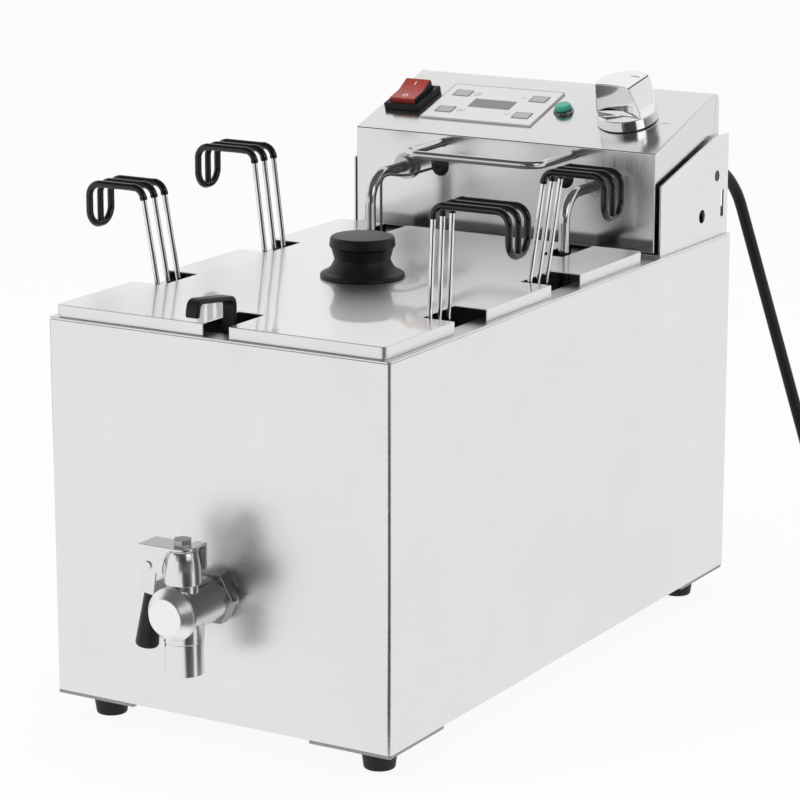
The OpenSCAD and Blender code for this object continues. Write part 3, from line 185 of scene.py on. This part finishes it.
# Flags: two dark cloths on the floor and a dark screen at the front right that show only in the
# metal, as the dark sides of a studio do. Each is a strip round an upright axis: centre +
# (r cos a, r sin a, z), with a between two angles in degrees, and r and z between two edges.
card_steps, cloth_z, screen_r, screen_h = 25, 0.0004, 2.6, 2.2
flag_cloth = bpy.data.materials.new("flag_cloth")
flag_cloth.use_nodes = True
cloth_shader = flag_cloth.node_tree.nodes["Principled BSDF"]
cloth_shader.inputs["Base Color"].default_value = (0.03, 0.03, 0.03, 1)
for name, centre, angles, edge_r, edge_z in (
    ("flag_right", (0.06, -0.25), (-66, -3), (0.09, 1.9), (cloth_z, cloth_z)),
    ("flag_left", (-0.1, 0.0), (150, 186), (0.75, 1.9), (cloth_z, cloth_z)),
    ("dark_screen", (0.0, 0.0), (-84, 4), (screen_r, screen_r), (0.0, screen_h)),
):
    a = np.radians(np.linspace(*angles, card_steps))[:, None]
    r, z = (np.broadcast_to(edge, (card_steps, 2)) for edge in (edge_r, edge_z))
    points = np.stack([centre[0] + r * np.cos(a), centre[1] + r * np.sin(a), z], -1)
    i = 2 * np.arange(card_steps - 1)
    faces = np.stack([i, i + 1, i + 3, i + 2], -1)
    card_mesh = bpy.data.meshes.new(name)
    card_mesh.from_pydata(points.reshape(-1, 3).tolist(), [], faces.tolist())
    card_mesh.materials.append(flag_cloth)
    card = bpy.data.objects.new(name, card_mesh)
    scene.collection.objects.link(card)
    card.visible_camera = False
    card.visible_diffuse = False
    card.visible_shadow = False

# Mains cord: one black rubber cord of 9 mm that leaves the gland, falls behind the machine and
# lies coiled on the floor up to its moulded plug, held by a web tie. Its finish, like all the
# others, comes from the surface grain: fine relief, uneven gloss and slow clouds of tone.
surface_grain = bpy.data.node_groups.new("surface_grain", "ShaderNodeTree")
face = surface_grain.interface
for socket, kind in (
    ("Colour", "NodeSocketColor"),
    ("Grain", "NodeSocketVector"),
    ("Clouds", "NodeSocketFloat"),
    ("Low", "NodeSocketFloat"),
    ("High", "NodeSocketFloat"),
):
    face.new_socket(socket, in_out="INPUT", socket_type=kind)
for socket, kind in (
    ("Colour", "NodeSocketColor"),
    ("Roughness", "NodeSocketFloat"),
    ("Height", "NodeSocketFloat"),
):
    face.new_socket(socket, in_out="OUTPUT", socket_type=kind)
given = surface_grain.nodes.new("NodeGroupInput")
made = surface_grain.nodes.new("NodeGroupOutput")
where = surface_grain.nodes.new("ShaderNodeTexCoord")
drawn = surface_grain.nodes.new("ShaderNodeVectorMath")
drawn.operation = "MULTIPLY"
relief = surface_grain.nodes.new("ShaderNodeTexNoise")
relief.inputs["Scale"].default_value = 1.0
relief.inputs["Detail"].default_value = 3.0
clouds = surface_grain.nodes.new("ShaderNodeTexNoise")
clouds.inputs["Scale"].default_value = 14.0
clouds.inputs["Detail"].default_value = 4.0
gloss = surface_grain.nodes.new("ShaderNodeMapRange")
gloss.inputs["From Min"].default_value = 0.3
gloss.inputs["From Max"].default_value = 0.7
tone = surface_grain.nodes.new("ShaderNodeMapRange")
tone.inputs["From Min"].default_value = 0.3
tone.inputs["From Max"].default_value = 0.7
tone.inputs["To Max"].default_value = 1.0
shade = surface_grain.nodes.new("ShaderNodeVectorMath")
shade.operation = "SCALE"
links = surface_grain.links
links.new(where.outputs["Object"], drawn.inputs[0])
links.new(given.outputs["Grain"], drawn.inputs[1])
links.new(drawn.outputs["Vector"], relief.inputs["Vector"])
links.new(where.outputs["Object"], clouds.inputs["Vector"])
links.new(relief.outputs["Fac"], gloss.inputs["Value"])
links.new(given.outputs["Low"], gloss.inputs["To Min"])
links.new(given.outputs["High"], gloss.inputs["To Max"])
links.new(clouds.outputs["Fac"], tone.inputs["Value"])
links.new(given.outputs["Clouds"], tone.inputs["To Min"])
links.new(given.outputs["Colour"], shade.inputs[0])
links.new(tone.outputs["Result"], shade.inputs["Scale"])
links.new(shade.outputs["Vector"], made.inputs["Colour"])
links.new(gloss.outputs["Result"], made.inputs["Roughness"])
links.new(relief.outputs["Fac"], made.inputs["Height"])


def finish(
    name, colour, metallic, rough, grain, relief_height, clouds_low=0.94, sheen_level=0.5, coat=0.0
):
    """Material whose colour, gloss and relief come from the surface grain. Grain is how many times
    a metre the relief changes along X, Y and Z, and uneven numbers draw it out. A coat lays a thin
    clear gloss over it."""
    material = bpy.data.materials.new(name)
    material.use_nodes = True
    tree = material.node_tree
    shader = tree.nodes["Principled BSDF"]
    shader.inputs["Metallic"].default_value = metallic
    shader.inputs["Specular IOR Level"].default_value = sheen_level
    shader.inputs["Coat Weight"].default_value = coat
    shader.inputs["Coat Roughness"].default_value = 0.04
    skin = tree.nodes.new("ShaderNodeGroup")
    skin.node_tree = surface_grain
    skin.inputs["Colour"].default_value = (*colour, 1)
    skin.inputs["Grain"].default_value = grain
    skin.inputs["Clouds"].default_value = clouds_low
    skin.inputs["Low"].default_value, skin.inputs["High"].default_value = rough
    bump = tree.nodes.new("ShaderNodeBump")
    bump.inputs["Strength"].default_value = 1.0
    bump.inputs["Distance"].default_value = relief_height
    tree.links.new(skin.outputs["Colour"], shader.inputs["Base Color"])
    tree.links.new(skin.outputs["Roughness"], shader.inputs["Roughness"])
    tree.links.new(skin.outputs["Height"], bump.inputs["Height"])
    tree.links.new(bump.outputs["Normal"], shader.inputs["Normal"])
    return material


def paint(material, *members):
    """Puts one material on pieces, or on CAD nodes given by name."""
    for member in members:
        mesh = nodes[member].data if isinstance(member, str) else member.data
        mesh.materials.clear()
        mesh.materials.append(material)


def carried(points, profile, up, closed=False):
    """Profile carried along a path: ring i is p_i + x n_i + y b_i for each profile point (x, y),
    where t_i is the path's direction, n_i = up x t_i and b_i = t_i x n_i. An open path gets flat
    ends and a closed one runs into itself. Gives the points and the faces."""
    p = np.array(points, float)
    t = np.roll(p, -1, 0) - np.roll(p, 1, 0) if closed else np.gradient(p, axis=0)
    t /= np.linalg.norm(t, axis=1)[:, None]
    n = np.cross(np.broadcast_to(np.array(up, float), p.shape), t)
    n /= np.linalg.norm(n, axis=1)[:, None]
    b = np.cross(t, n)
    x, y = np.array(profile, float).T
    rings = p[:, None] + n[:, None] * x[None, :, None] + b[:, None] * y[None, :, None]
    count, sides = len(p), len(x)
    i, k = np.meshgrid(np.arange(count - (not closed)), np.arange(sides), indexing="ij")
    j, m = (i + 1) % count, (k + 1) % sides
    quads = np.stack([i * sides + k, i * sides + m, j * sides + m, j * sides + k], -1)
    faces = quads.reshape(-1, 4).tolist()
    if not closed:
        faces += [list(range(sides - 1, -1, -1)), list(range((count - 1) * sides, count * sides))]
    return rings.reshape(-1, 3), faces


def joined(name, body, solids, smooth=False):
    """One piece from the points and faces of closed solids, riding on a body. Smooth leaves only
    faces with more than four corners flat."""
    points = np.concatenate([solid_points for solid_points, solid_faces in solids])
    faces = []
    first = 0
    for solid_points, solid_faces in solids:
        faces += [[first + corner for corner in face] for face in solid_faces]
        first += len(solid_points)
    mesh = bpy.data.meshes.new(name)
    mesh.from_pydata(points.tolist(), [], faces)
    mesh.polygons.foreach_set("use_smooth", [smooth and len(face) == 4 for face in faces])
    piece = bpy.data.objects.new(name, mesh)
    scene.collection.objects.link(piece)
    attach(piece, body)
    return piece


def rounded_corner(before, corner, after, radius):
    """Arc that touches both legs of a corner: start + side r (1 - cos q) + d1 r sin q, with q from
    0 to the angle by which the route turns."""
    d1 = (corner - before) / np.linalg.norm(corner - before)
    d2 = (after - corner) / np.linalg.norm(after - corner)
    turn = math.acos(d1 @ d2)
    side = (d2 - d1 * (d1 @ d2)) / math.sin(turn)
    arc_steps = 25
    q = np.linspace(0, turn, arc_steps)[:, None]
    start = corner - d1 * radius * math.tan(turn / 2)
    return start + side * radius * (1 - np.cos(q)) + d1 * radius * np.sin(q)


cord_d, cord_sides, cord_rings = 0.009, 14, 520
top_bend, floor_bend, plug_tail = 0.036, 0.040, 0.045
route = np.array(
    [[0.105, 0.2992, 0.325], [0.105, 0.3362, 0.325], [0.21, 0.3362, 0.006], [0.285, 0.3362, 0.006]]
)
coil_turns, coil_r, turn_step, coil_steps = 2.15, 0.0594, 0.0096, 400
layer_step, climb_turns = 0.0105, 0.5
k = np.linspace(0, 2 * coil_turns, coil_steps)[1:]
coil_reach = coil_r - turn_step * np.minimum(k, 2 * coil_turns - k)
coil_up = layer_step * np.clip((k - coil_turns) / climb_turns + 0.5, 0, 1)
coil_angle = np.radians(90 - 360 * k)
coil = route[3] - (0, coil_r, 0) + np.stack(
    [coil_reach * np.cos(coil_angle), coil_reach * np.sin(coil_angle), coil_up], -1
)
ahead = (coil[-1] - coil[-2]) * (1, 1, 0)
line = np.concatenate(
    [
        route[:1],
        rounded_corner(*route[0:3], top_bend),
        rounded_corner(*route[1:4], floor_bend),
        route[3:],
        coil,
        [coil[-1] + ahead / np.linalg.norm(ahead) * plug_tail],
    ]
)
gone = np.concatenate([[0], np.cumsum(np.linalg.norm(np.diff(line, axis=0), axis=1))])
ring_at = np.linspace(0, gone[-1], cord_rings)
line = np.stack([np.interp(ring_at, gone, axis) for axis in line.T], -1)
round_a = np.linspace(0, 2 * np.pi, cord_sides, endpoint=False)
cord_round = cord_d / 2 * np.stack([np.cos(round_a), np.sin(round_a)], -1)
cord = joined("mains_cord", "machine", [carried(line, cord_round, (0, 0, 1))], smooth=True)
cord_rubber = finish(
    "cord_rubber", (0.012, 0.012, 0.012), metallic=0.0, rough=(0.38, 0.5), grain=(900, 900, 900),
    relief_height=4e-5, clouds_low=0.7, sheen_level=0.3,
)
paint(cord_rubber, cord)
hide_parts("cord", "cord_coil")
black_nylon = finish(
    "black_nylon", (0.009, 0.009, 0.009), metallic=0.0, rough=(0.34, 0.46),
    grain=(3000, 3000, 3000), relief_height=3e-5, clouds_low=0.75, sheen_level=0.3,
)
tie_web = finish(
    "tie_web", (0.03, 0.03, 0.032), metallic=0.0, rough=(0.75, 0.9), grain=(700, 700, 2500),
    relief_height=8e-5, clouds_low=0.7,
)
paint(black_nylon, "plug", "cable_gland")
paint(tie_web, "cord_tie")
# The coil would throw a dark patch on the casing's side, so the metal doesn't mirror it.
for piece in (cord, nodes["plug"], nodes["cord_tie"]):
    piece.visible_glossy = False


# Casing: front and sides are one wrap of satin stainless sheet with its grain lying level, the
# rear panel and deck are screwed on, and the plate round the tank is welded in.
def body_of(node):
    """Name of the body that a CAD node belongs to."""
    return next(name for name, body in frame["bodies"].items() if body == nodes[node].parent)


def edged(node, width, segments=2, sheet=None, broad=0.0025, hollows=True):
    """Merged copy of a CAD node that stands for it and moves with its body, its edges sharper than
    35 degrees rolled over to the width. With a sheet width, only folds between faces of the broad
    area get the full width. Without hollows, inward corners stay sharp, and a sheet's rims that
    have a hollow outline are divided."""
    merge_gap, flat_bend, sharp_bend = 4e-6, math.radians(0.4), 35
    shape = bmesh.new()
    shape.from_mesh(nodes[node].data)
    bmesh.ops.remove_doubles(shape, verts=shape.verts, dist=merge_gap)
    bmesh.ops.dissolve_limit(shape, angle_limit=flat_bend, verts=shape.verts, edges=shape.edges)
    if sheet and not hollows:
        rims = [face for face in shape.faces if face.calc_area() < broad]
        bmesh.ops.connect_verts_concave(shape, faces=rims)
    share = shape.edges.layers.float.new("bevel_weight_edge")
    for edge in shape.edges:
        bend = math.degrees(edge.calc_face_angle_signed(0.0))
        rolled = bend > sharp_bend or (hollows and bend < -sharp_bend)
        edge.smooth = rolled or bend > -sharp_bend
        if rolled:
            fold = min(face.calc_area() for face in edge.link_faces) > broad
            edge[share] = 1.0 if fold or sheet is None else sheet / width
    mesh = bpy.data.meshes.new(node + "_edged")
    shape.to_mesh(mesh)
    shape.free()
    if "custom_normal" in mesh.attributes:
        mesh.attributes.remove(mesh.attributes["custom_normal"])
    mesh.polygons.foreach_set("use_smooth", [True] * len(mesh.polygons))
    piece = bpy.data.objects.new(node + "_edged", mesh)
    scene.collection.objects.link(piece)
    roll = piece.modifiers.new("edge_roll", "BEVEL")
    roll.width = width
    roll.segments = segments
    roll.limit_method = "WEIGHT"
    roll.harden_normals = True
    roll.use_clamp_overlap = False
    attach(piece, body_of(node))
    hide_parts(node)
    return piece


satin_sheet = finish(
    "satin_sheet", (0.80, 0.80, 0.795), metallic=1.0, rough=(0.26, 0.36), grain=(18, 18, 2600),
    relief_height=2.0e-6, clouds_low=0.97,
)
satin_top = finish(
    "satin_top", (0.80, 0.80, 0.795), metallic=1.0, rough=(0.34, 0.44), grain=(2600, 18, 18),
    relief_height=2.0e-6, clouds_low=0.97,
)
casing = edged("outer_casing", 0.0011, 3, sheet=0.0005, broad=0.02)
paint(satin_sheet, casing, "rear_panel")
rim = edged("tank_rim", 0.0005)
deck = edged("rear_deck", 0.0005)
paint(satin_top, rim, deck, "tank", "tank_base")

# Feet: four black rubber cones, each bolted through a grey steel plate that closes a corner. The
# grommets in the head's front are of the same rubber.
grey_plate = finish(
    "grey_plate", (0.34, 0.34, 0.35), metallic=0.7, rough=(0.35, 0.5), grain=(900, 900, 900),
    relief_height=3e-5, clouds_low=0.9,
)
foot_rubber = finish(
    "foot_rubber", (0.02, 0.02, 0.02), metallic=0.0, rough=(0.5, 0.66), grain=(1400, 1400, 1400),
    relief_height=6e-5, clouds_low=0.7, sheen_level=0.3,
)
paint(grey_plate, edged("corner_plates", 0.0006))
paint(foot_rubber, edged("rubber_feet", 0.001, 3), "grommets")

# Tap: a nickel-plated ball tap with a bright turned end, screwed on the drain pipe through the
# front with a nut. The nut and the bracket's bolt are painted darker than the tap, as painted
# shade. Its lever hangs from a fork on the stem and has a black sleeve. The machine's other
# screws are plated like the tap.
nickel = finish(
    "nickel", (0.80, 0.79, 0.78), metallic=1.0, rough=(0.17, 0.27), grain=(1500, 1500, 1500),
    relief_height=1.5e-5, clouds_low=0.93,
)
turned_end = finish(
    "turned_end", (0.90, 0.90, 0.89), metallic=1.0, rough=(0.30, 0.38), grain=(1500, 200, 1500),
    relief_height=4e-6, clouds_low=0.97,
)
# A darker nickel for the nut and the bracket's bolt: painted shade, not a different plating.
nickel_painted_shade = finish(
    "nickel_painted_shade", (0.40, 0.395, 0.39), metallic=1.0, rough=(0.20, 0.30),
    grain=(1500, 1500, 1500), relief_height=1.5e-5, clouds_low=0.9,
)
tap_pieces = [
    edged("tap_body", 0.0005),
    edged("tap_spout", 0.0004),
    edged("tap_bonnet", 0.0006),
    edged("handle_bracket", 0.0003),
    edged("lever", 0.0004),
]
paint(nickel, *tap_pieces, "valve_ball", "valve_stem", "drain_pipe", "screws", "knob_screw")
paint(nickel_painted_shade, edged("drain_nut", 0.0006), edged("bracket_bolt", 0.0004))
paint(turned_end, edged("tap_end_cap", 0.0008, 3))
lever_sleeve = finish(
    "lever_sleeve", (0.010, 0.010, 0.010), metallic=0.0, rough=(0.3, 0.42),
    grain=(1600, 1600, 1600), relief_height=4e-5, clouds_low=0.75, sheen_level=0.3,
)
paint(lever_sleeve, edged("lever_grip", 0.0010, 3))
seat_white = finish(
    "seat_white", (0.85, 0.85, 0.83), metallic=0.0, rough=(0.4, 0.5), grain=(800, 800, 800),
    relief_height=1e-5,
)
paint(seat_white, "ball_seats")

# Lid: a tray of bright-rolled stainless sheet, folded down all round, with notches for the handles.
# It stands loose on the casing's folded edge.
bright_sheet = finish(
    "bright_sheet", (0.80, 0.80, 0.795), metallic=1.0, rough=(0.34, 0.42), grain=(1800, 14, 14),
    relief_height=1.0e-6, clouds_low=0.97, coat=1.0,
)
lid = edged("lid", 0.0006, 3)
paint(bright_sheet, lid)


# Lid knob: one black turned moulding with a flared foot, a waist, a banded head and a slightly
# raised top, held by a screw from below. Its outline is in shares of the foot's radius and of the
# knob's height.
def turned(outline, rounding, rings, sides=96):
    """Points and faces of a surface of revolution: (r cos a, r sin a, z) for each point (r, z) of
    the outline, which runs up from its foot to its top. The outline is resampled to even steps,
    and a running mean of a few of them takes off its corners."""
    r, z = np.array(outline, float).T
    gone = np.concatenate([[0], np.cumsum(np.hypot(np.diff(r), np.diff(z)))])
    steps = np.linspace(0, gone[-1], rings)
    mean = np.ones(rounding) / rounding
    spread = [np.pad(np.interp(steps, gone, v), rounding // 2, mode="edge") for v in (r, z)]
    r, z = (np.convolve(v, mean, mode="valid") for v in spread)
    a = np.linspace(0, 2 * np.pi, sides, endpoint=False)
    across, along, up = np.outer(r, np.cos(a)), np.outer(r, np.sin(a)), np.outer(z, np.ones(sides))
    points = np.stack([across, along, up], -1)
    i, k = np.meshgrid(np.arange(rings - 1), np.arange(sides), indexing="ij")
    m = (k + 1) % sides
    quads = np.stack([i * sides + k, i * sides + m, (i + 1) * sides + m, (i + 1) * sides + k], -1)
    ends = [list(range(sides - 1, -1, -1)), list(range((rings - 1) * sides, rings * sides))]
    return points.reshape(-1, 3), quads.reshape(-1, 4).tolist() + ends


knob_plastic = finish(
    "knob_plastic", (0.008, 0.008, 0.008), metallic=0.0, rough=(0.36, 0.46),
    grain=(2200, 2200, 2200), relief_height=3e-5, clouds_low=0.75, sheen_level=0.3,
)
knob_low, knob_high = (np.array(corner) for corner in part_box("lid_knob"))
knob_r, knob_h = (knob_high[0] - knob_low[0]) / 2, knob_high[2] - knob_low[2]
knob_rings, knob_rounding = 150, 5
knob_outline = np.array(
    [
        (0.99, 0.0),
        (1.0, 0.02),
        (1.0, 0.065),
        (0.97, 0.10),
        (0.86, 0.145),
        (0.76, 0.23),
        (0.70, 0.33),
        (0.66, 0.43),
        (0.735, 0.70),
        (0.78, 0.745),
        (0.76, 0.935),
        (0.72, 0.985),
        (0.40, 0.998),
        (0.05, 1.0),
    ]
)
knob_points, knob_faces = turned(knob_outline * (knob_r, knob_h), knob_rounding, knob_rings)
knob_points += (*(knob_low + knob_high)[:2] / 2, knob_low[2])
lid_knob = joined("lid_knob_turned", body_of("lid_knob"), [(knob_points, knob_faces)], smooth=True)
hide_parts("lid_knob")
paint(knob_plastic, lid_knob)

# Rack and baskets: perforated and slotted stainless sheet. The rack has a flat strap with a
# black grip, and each basket a handle of three bright wires with a black coat.
bright_wire = finish(
    "bright_wire", (0.85, 0.85, 0.84), metallic=1.0, rough=(0.05, 0.10), grain=(500, 500, 500),
    relief_height=3e-6, clouds_low=0.95,
)
grip_coat = finish(
    "grip_coat", (0.006, 0.006, 0.006), metallic=0.0, rough=(0.10, 0.17),
    grain=(1200, 1200, 1200), relief_height=1e-5, clouds_low=0.8, sheen_level=0.45,
)
corners = ("front_left", "rear_left", "front_right", "rear_right")
paint(satin_top, "rack", *["basket_" + c for c in corners])
paint(bright_wire, *["handle_" + c for c in corners])
paint(grip_coat, *["grip_" + c for c in corners])
paint(knob_plastic, edged("rack_grip", 0.0015, 4))

# Head: a folded box of brighter stainless sheet, held by two pins between the cheeks of a satin
# cradle that is screwed to the rear deck.
head_sheet = finish(
    "head_sheet", (0.73, 0.73, 0.725), metallic=1.0, rough=(0.13, 0.22), grain=(2200, 30, 30),
    relief_height=1.5e-6, clouds_low=0.97,
)
# The pivot pins are painted near black: painted shade for the holes they sit in.
pin_painted_shade = finish(
    "pin_painted_shade", (0.05, 0.05, 0.05), metallic=1.0, rough=(0.3, 0.4), grain=(800, 800, 800),
    relief_height=1e-5,
)
head = edged("head_shell", 0.0013, 3, sheet=0.0004, broad=0.003, hollows=False)
paint(head_sheet, head, "head_back")
paint(satin_sheet, edged("head_cradle", 0.0004))
paint(pin_painted_shade, "pivot_pins")

# Heating element and drain rail: bright tubes in the head's front. The element's arms go down
# into the tank, each through a collar, with the thin sensor tube beside one of them.
element_sheath = finish(
    "element_sheath", (0.66, 0.655, 0.65), metallic=1.0, rough=(0.13, 0.21),
    grain=(300, 300, 300), relief_height=6e-6, clouds_low=0.9,
)
gland_steel = finish(
    "gland_steel", (0.55, 0.55, 0.55), metallic=1.0, rough=(0.22, 0.32), grain=(900, 900, 900),
    relief_height=8e-6, clouds_low=0.9,
)
sensor_tube = finish(
    "sensor_tube", (0.20, 0.20, 0.20), metallic=1.0, rough=(0.30, 0.40), grain=(700, 700, 700),
    relief_height=8e-6, clouds_low=0.85,
)
paint(element_sheath, "drain_rail", "heating_element")
paint(gland_steel, "element_glands")
paint(sensor_tube, "capillary")

# Switch: a black frame pressed into the panel, with a tilting rocker that has a red face, black
# sides and white marks for on and off.
panel_at, panel_slope = np.array([0, 0.1635, 0.357]), math.radians(17.4)
panel_back = np.array([0, math.cos(panel_slope), math.sin(panel_slope)])
panel_up = np.array([0, -math.sin(panel_slope), math.cos(panel_slope)])
switch_x, switch_u, rocker_lift, rocker_tip = -105, 51.58, 3, math.radians(8)
rocker_mid, rocker_slope, rocker_side = 5.6, 0.1357, 0.7


def on_panel(x, u, lift):
    """Points of the head's sloped panel from millimetres across, up the slope and off the sheet."""
    x, u, lift = (0.001 * v[:, None] for v in np.atleast_1d(*np.broadcast_arrays(x, u, lift)))
    return panel_at + x * (1, 0, 0) + u * panel_back + lift * panel_up


def on_rocker(x, y):
    """Points of the rocker's face, two flats that fall to its middle: z = mid + slope |y|, tipped
    about the axle and lifted."""
    y = np.asarray(y, float)
    z = rocker_mid + rocker_slope * np.abs(y)
    back = y * math.cos(rocker_tip) - z * math.sin(rocker_tip)
    return on_panel(
        switch_x + np.asarray(x, float),
        switch_u + back,
        rocker_lift + y * math.sin(rocker_tip) + z * math.cos(rocker_tip),
    )


def ink(width):
    """Cross-section in metres of a printed line with a width in millimetres: a box that sinks in a
    little and stands proud."""
    half, sunk, proud = width / 2, -0.1, 0.06
    return 0.001 * np.array([[-half, sunk], [half, sunk], [half, proud], [-half, proud]])


red_cap = finish(
    "red_cap", (0.36, 0.045, 0.035), metallic=0.0, rough=(0.16, 0.24), grain=(900, 900, 900),
    relief_height=4e-6, clouds_low=0.85,
)
paint(black_nylon, edged("switch_body", 0.0008, 3))
rocker = edged("rocker", 0.0008, 3)
paint(red_cap, rocker)
rocker.data.materials.append(black_nylon)
rocker_normals = np.empty(3 * len(rocker.data.polygons), np.float32)
rocker.data.polygons.foreach_get("normal", rocker_normals)
rocker.data.polygons.foreach_set(
    "material_index", (np.abs(rocker_normals[0::3]) > rocker_side).astype(np.int32)
)
off_r, off_y, on_y, mark_steps = 1.8, -8.5, (6.6, 10.4), 24
mark_a = np.linspace(0, 2 * np.pi, mark_steps, endpoint=False)
off_ring = on_rocker(off_r * np.cos(mark_a), off_y + off_r * np.sin(mark_a))
mark_o = carried(off_ring, ink(0.7), panel_up, closed=True)
rear_tilt = rocker_tip + math.atan(rocker_slope)
rear_flat = panel_up * math.cos(rear_tilt) - panel_back * math.sin(rear_tilt)
mark_i = carried(on_rocker([0, 0], on_y), ink(0.8), rear_flat)
rocker_marks = joined("rocker_marks", body_of("rocker"), [mark_o, mark_i])
mark_white = finish(
    "mark_white", (0.72, 0.70, 0.69), metallic=0.0, rough=(0.4, 0.5), grain=(900, 900, 900),
    relief_height=2e-6,
)
paint(mark_white, rocker_marks)

# Key panel: a pale printed film stuck on the panel, with four sprung grey keys and a grey display
# window. Thin lines frame the film and the keys, and a plain sign stands beside each key.
film_x, film_u, film_top = -36.5, 53.82, 1.2
film_wide, film_deep, film_r = 94.2, 58.2, 1.2
key_wide, key_deep, key_r, key_across, key_along = 14.2, 10.2, 0.8, 33, 14.4


def rounded_box(wide, deep, r):
    """Closed outline of a box with round corners: corner centre + r (cos a, sin a)."""
    steps = 32
    a = np.linspace(0, 2 * np.pi, steps, endpoint=False) + np.pi / steps
    x = np.sign(np.cos(a)) * (wide / 2 - r) + r * np.cos(a)
    return x, np.sign(np.sin(a)) * (deep / 2 - r) + r * np.sin(a)


def on_film(x, y):
    """Points of the film's face from millimetres off its centre."""
    return on_panel(film_x + np.asarray(x, float), film_u + np.asarray(y, float), film_top)


film_white = finish(
    "film_white", (0.68, 0.68, 0.68), metallic=0.0, rough=(0.3, 0.4), grain=(1500, 1500, 1500),
    relief_height=4e-6, clouds_low=0.98,
)
key_grey = finish(
    "key_grey", (0.40, 0.40, 0.41), metallic=0.0, rough=(0.35, 0.45), grain=(2000, 2000, 2000),
    relief_height=6e-6, clouds_low=0.95,
)
window_grey = finish(
    "window_grey", (0.17, 0.17, 0.175), metallic=0.0, rough=(0.12, 0.18), grain=(400, 400, 400),
    relief_height=1e-6, clouds_low=0.9,
)
paint(film_white, edged("membrane_panel", 0.0002))
paint(key_grey, *[edged("button_%d" % k, 0.0003) for k in (1, 2, 3, 4)])
paint(window_grey, "display_window")
film_line, key_line = ink(0.45), ink(0.6)
film_edge = on_film(*rounded_box(film_wide, film_deep, film_r))
frames = [carried(film_edge, film_line, panel_up, closed=True)]
key_x, key_y = rounded_box(key_wide, key_deep, key_r)
for across in (-key_across, key_across):
    for along in (-key_along, key_along):
        outline = on_film(across + key_x, along + key_y)
        frames.append(carried(outline, key_line, panel_up, closed=True))
film_frames = joined("film_frames", body_of("membrane_panel"), frames)
frame_ink = finish(
    "frame_ink", (0.09, 0.09, 0.09), metallic=0.0, rough=(0.4, 0.5), grain=(900, 900, 900),
    relief_height=2e-6,
)
paint(frame_ink, film_frames)
# The signs' strokes: the clock's hands, a triangle with a bar for start, and arrows up and down.
clock_x, clock_r = -20, 2.7
clock_face = on_film(clock_x + clock_r * np.cos(mark_a), key_along + clock_r * np.sin(mark_a))
signs = [carried(clock_face, key_line, panel_up, closed=True)]
for x0, y0, x1, y1 in (
    (clock_x, 14.2, clock_x, 16.2),
    (-20.2, 14.4, -18.6, 14.4),
    (-22.2, -12.0, -22.2, -16.8),
    (-22.2, -12.0, -18.4, -14.4),
    (-22.2, -16.8, -18.4, -14.4),
    (-16.8, -12.0, -16.8, -16.8),
    (17.6, 13.2, 20, 15.6),
    (22.4, 13.2, 20, 15.6),
    (17.6, -13.2, 20, -15.6),
    (22.4, -13.2, 20, -15.6),
):
    signs.append(carried(on_film([x0, x1], [y0, y1]), key_line, panel_up))
film_signs = joined("film_signs", body_of("membrane_panel"), signs)
sign_ink = finish(
    "sign_ink", (0.30, 0.30, 0.30), metallic=0.0, rough=(0.4, 0.5), grain=(900, 900, 900),
    relief_height=2e-6,
)
paint(sign_ink, film_signs)

# Lamp: a green moulded lens pressed into a dark plated ring, which sits in the panel between the
# keys and the thermostat knob.
green_lens = finish(
    "green_lens", (0.05, 0.36, 0.25), metallic=0.0, rough=(0.1, 0.18), grain=(900, 900, 900),
    relief_height=1e-5, clouds_low=0.85,
)
lamp_ring = finish(
    "lamp_ring", (0.28, 0.28, 0.29), metallic=1.0, rough=(0.10, 0.18), grain=(900, 900, 900),
    relief_height=6e-6, clouds_low=0.9,
)
paint(lamp_ring, edged("lamp_bezel", 0.0003))
paint(green_lens, edged("lamp_lens", 0.0006, 3))

# Thermostat knob: a plated half-moon knob on its shaft, with a dark dash on its top and a faint
# tick on the panel beside it. The thermostat and the timer's board are under the panel.
knob_chrome = finish(
    "knob_chrome", (0.86, 0.86, 0.85), metallic=1.0, rough=(0.05, 0.09), grain=(300, 300, 300),
    relief_height=2e-6, clouds_low=0.97,
)
paint(knob_chrome, edged("thermostat_knob", 0.0008, 3, hollows=False), "knob_shaft")
dial_x, dial_u, dial_top, dial_turn = 80, 49.34, 30.5, math.radians(-10)
dash_x, dash_y = np.array([-1.0, 6.5]), np.array([12.0, 12.0])
tick_x, tick_u = [107.5, 115], 49.3
dash_line = on_panel(
    dial_x + dash_x * math.cos(dial_turn) - dash_y * math.sin(dial_turn),
    dial_u + dash_x * math.sin(dial_turn) + dash_y * math.cos(dial_turn),
    dial_top,
)
dash = joined("dial_dash", body_of("thermostat_knob"), [carried(dash_line, ink(0.9), panel_up)])
paint(frame_ink, dash)
tick = joined(
    "dial_tick",
    body_of("head_shell"),
    [carried(on_panel(tick_x, tick_u, 0), ink(0.5), panel_up)],
)
paint(sign_ink, tick)
phenolic = finish(
    "phenolic", (0.30, 0.22, 0.14), metallic=0.0, rough=(0.45, 0.6), grain=(900, 900, 900),
    relief_height=3e-5, clouds_low=0.8,
)
board_green = finish(
    "board_green", (0.03, 0.16, 0.06), metallic=0.0, rough=(0.35, 0.5), grain=(700, 700, 700),
    relief_height=2e-5, clouds_low=0.8,
)
paint(phenolic, "thermostat")
paint(board_green, "timer_board")
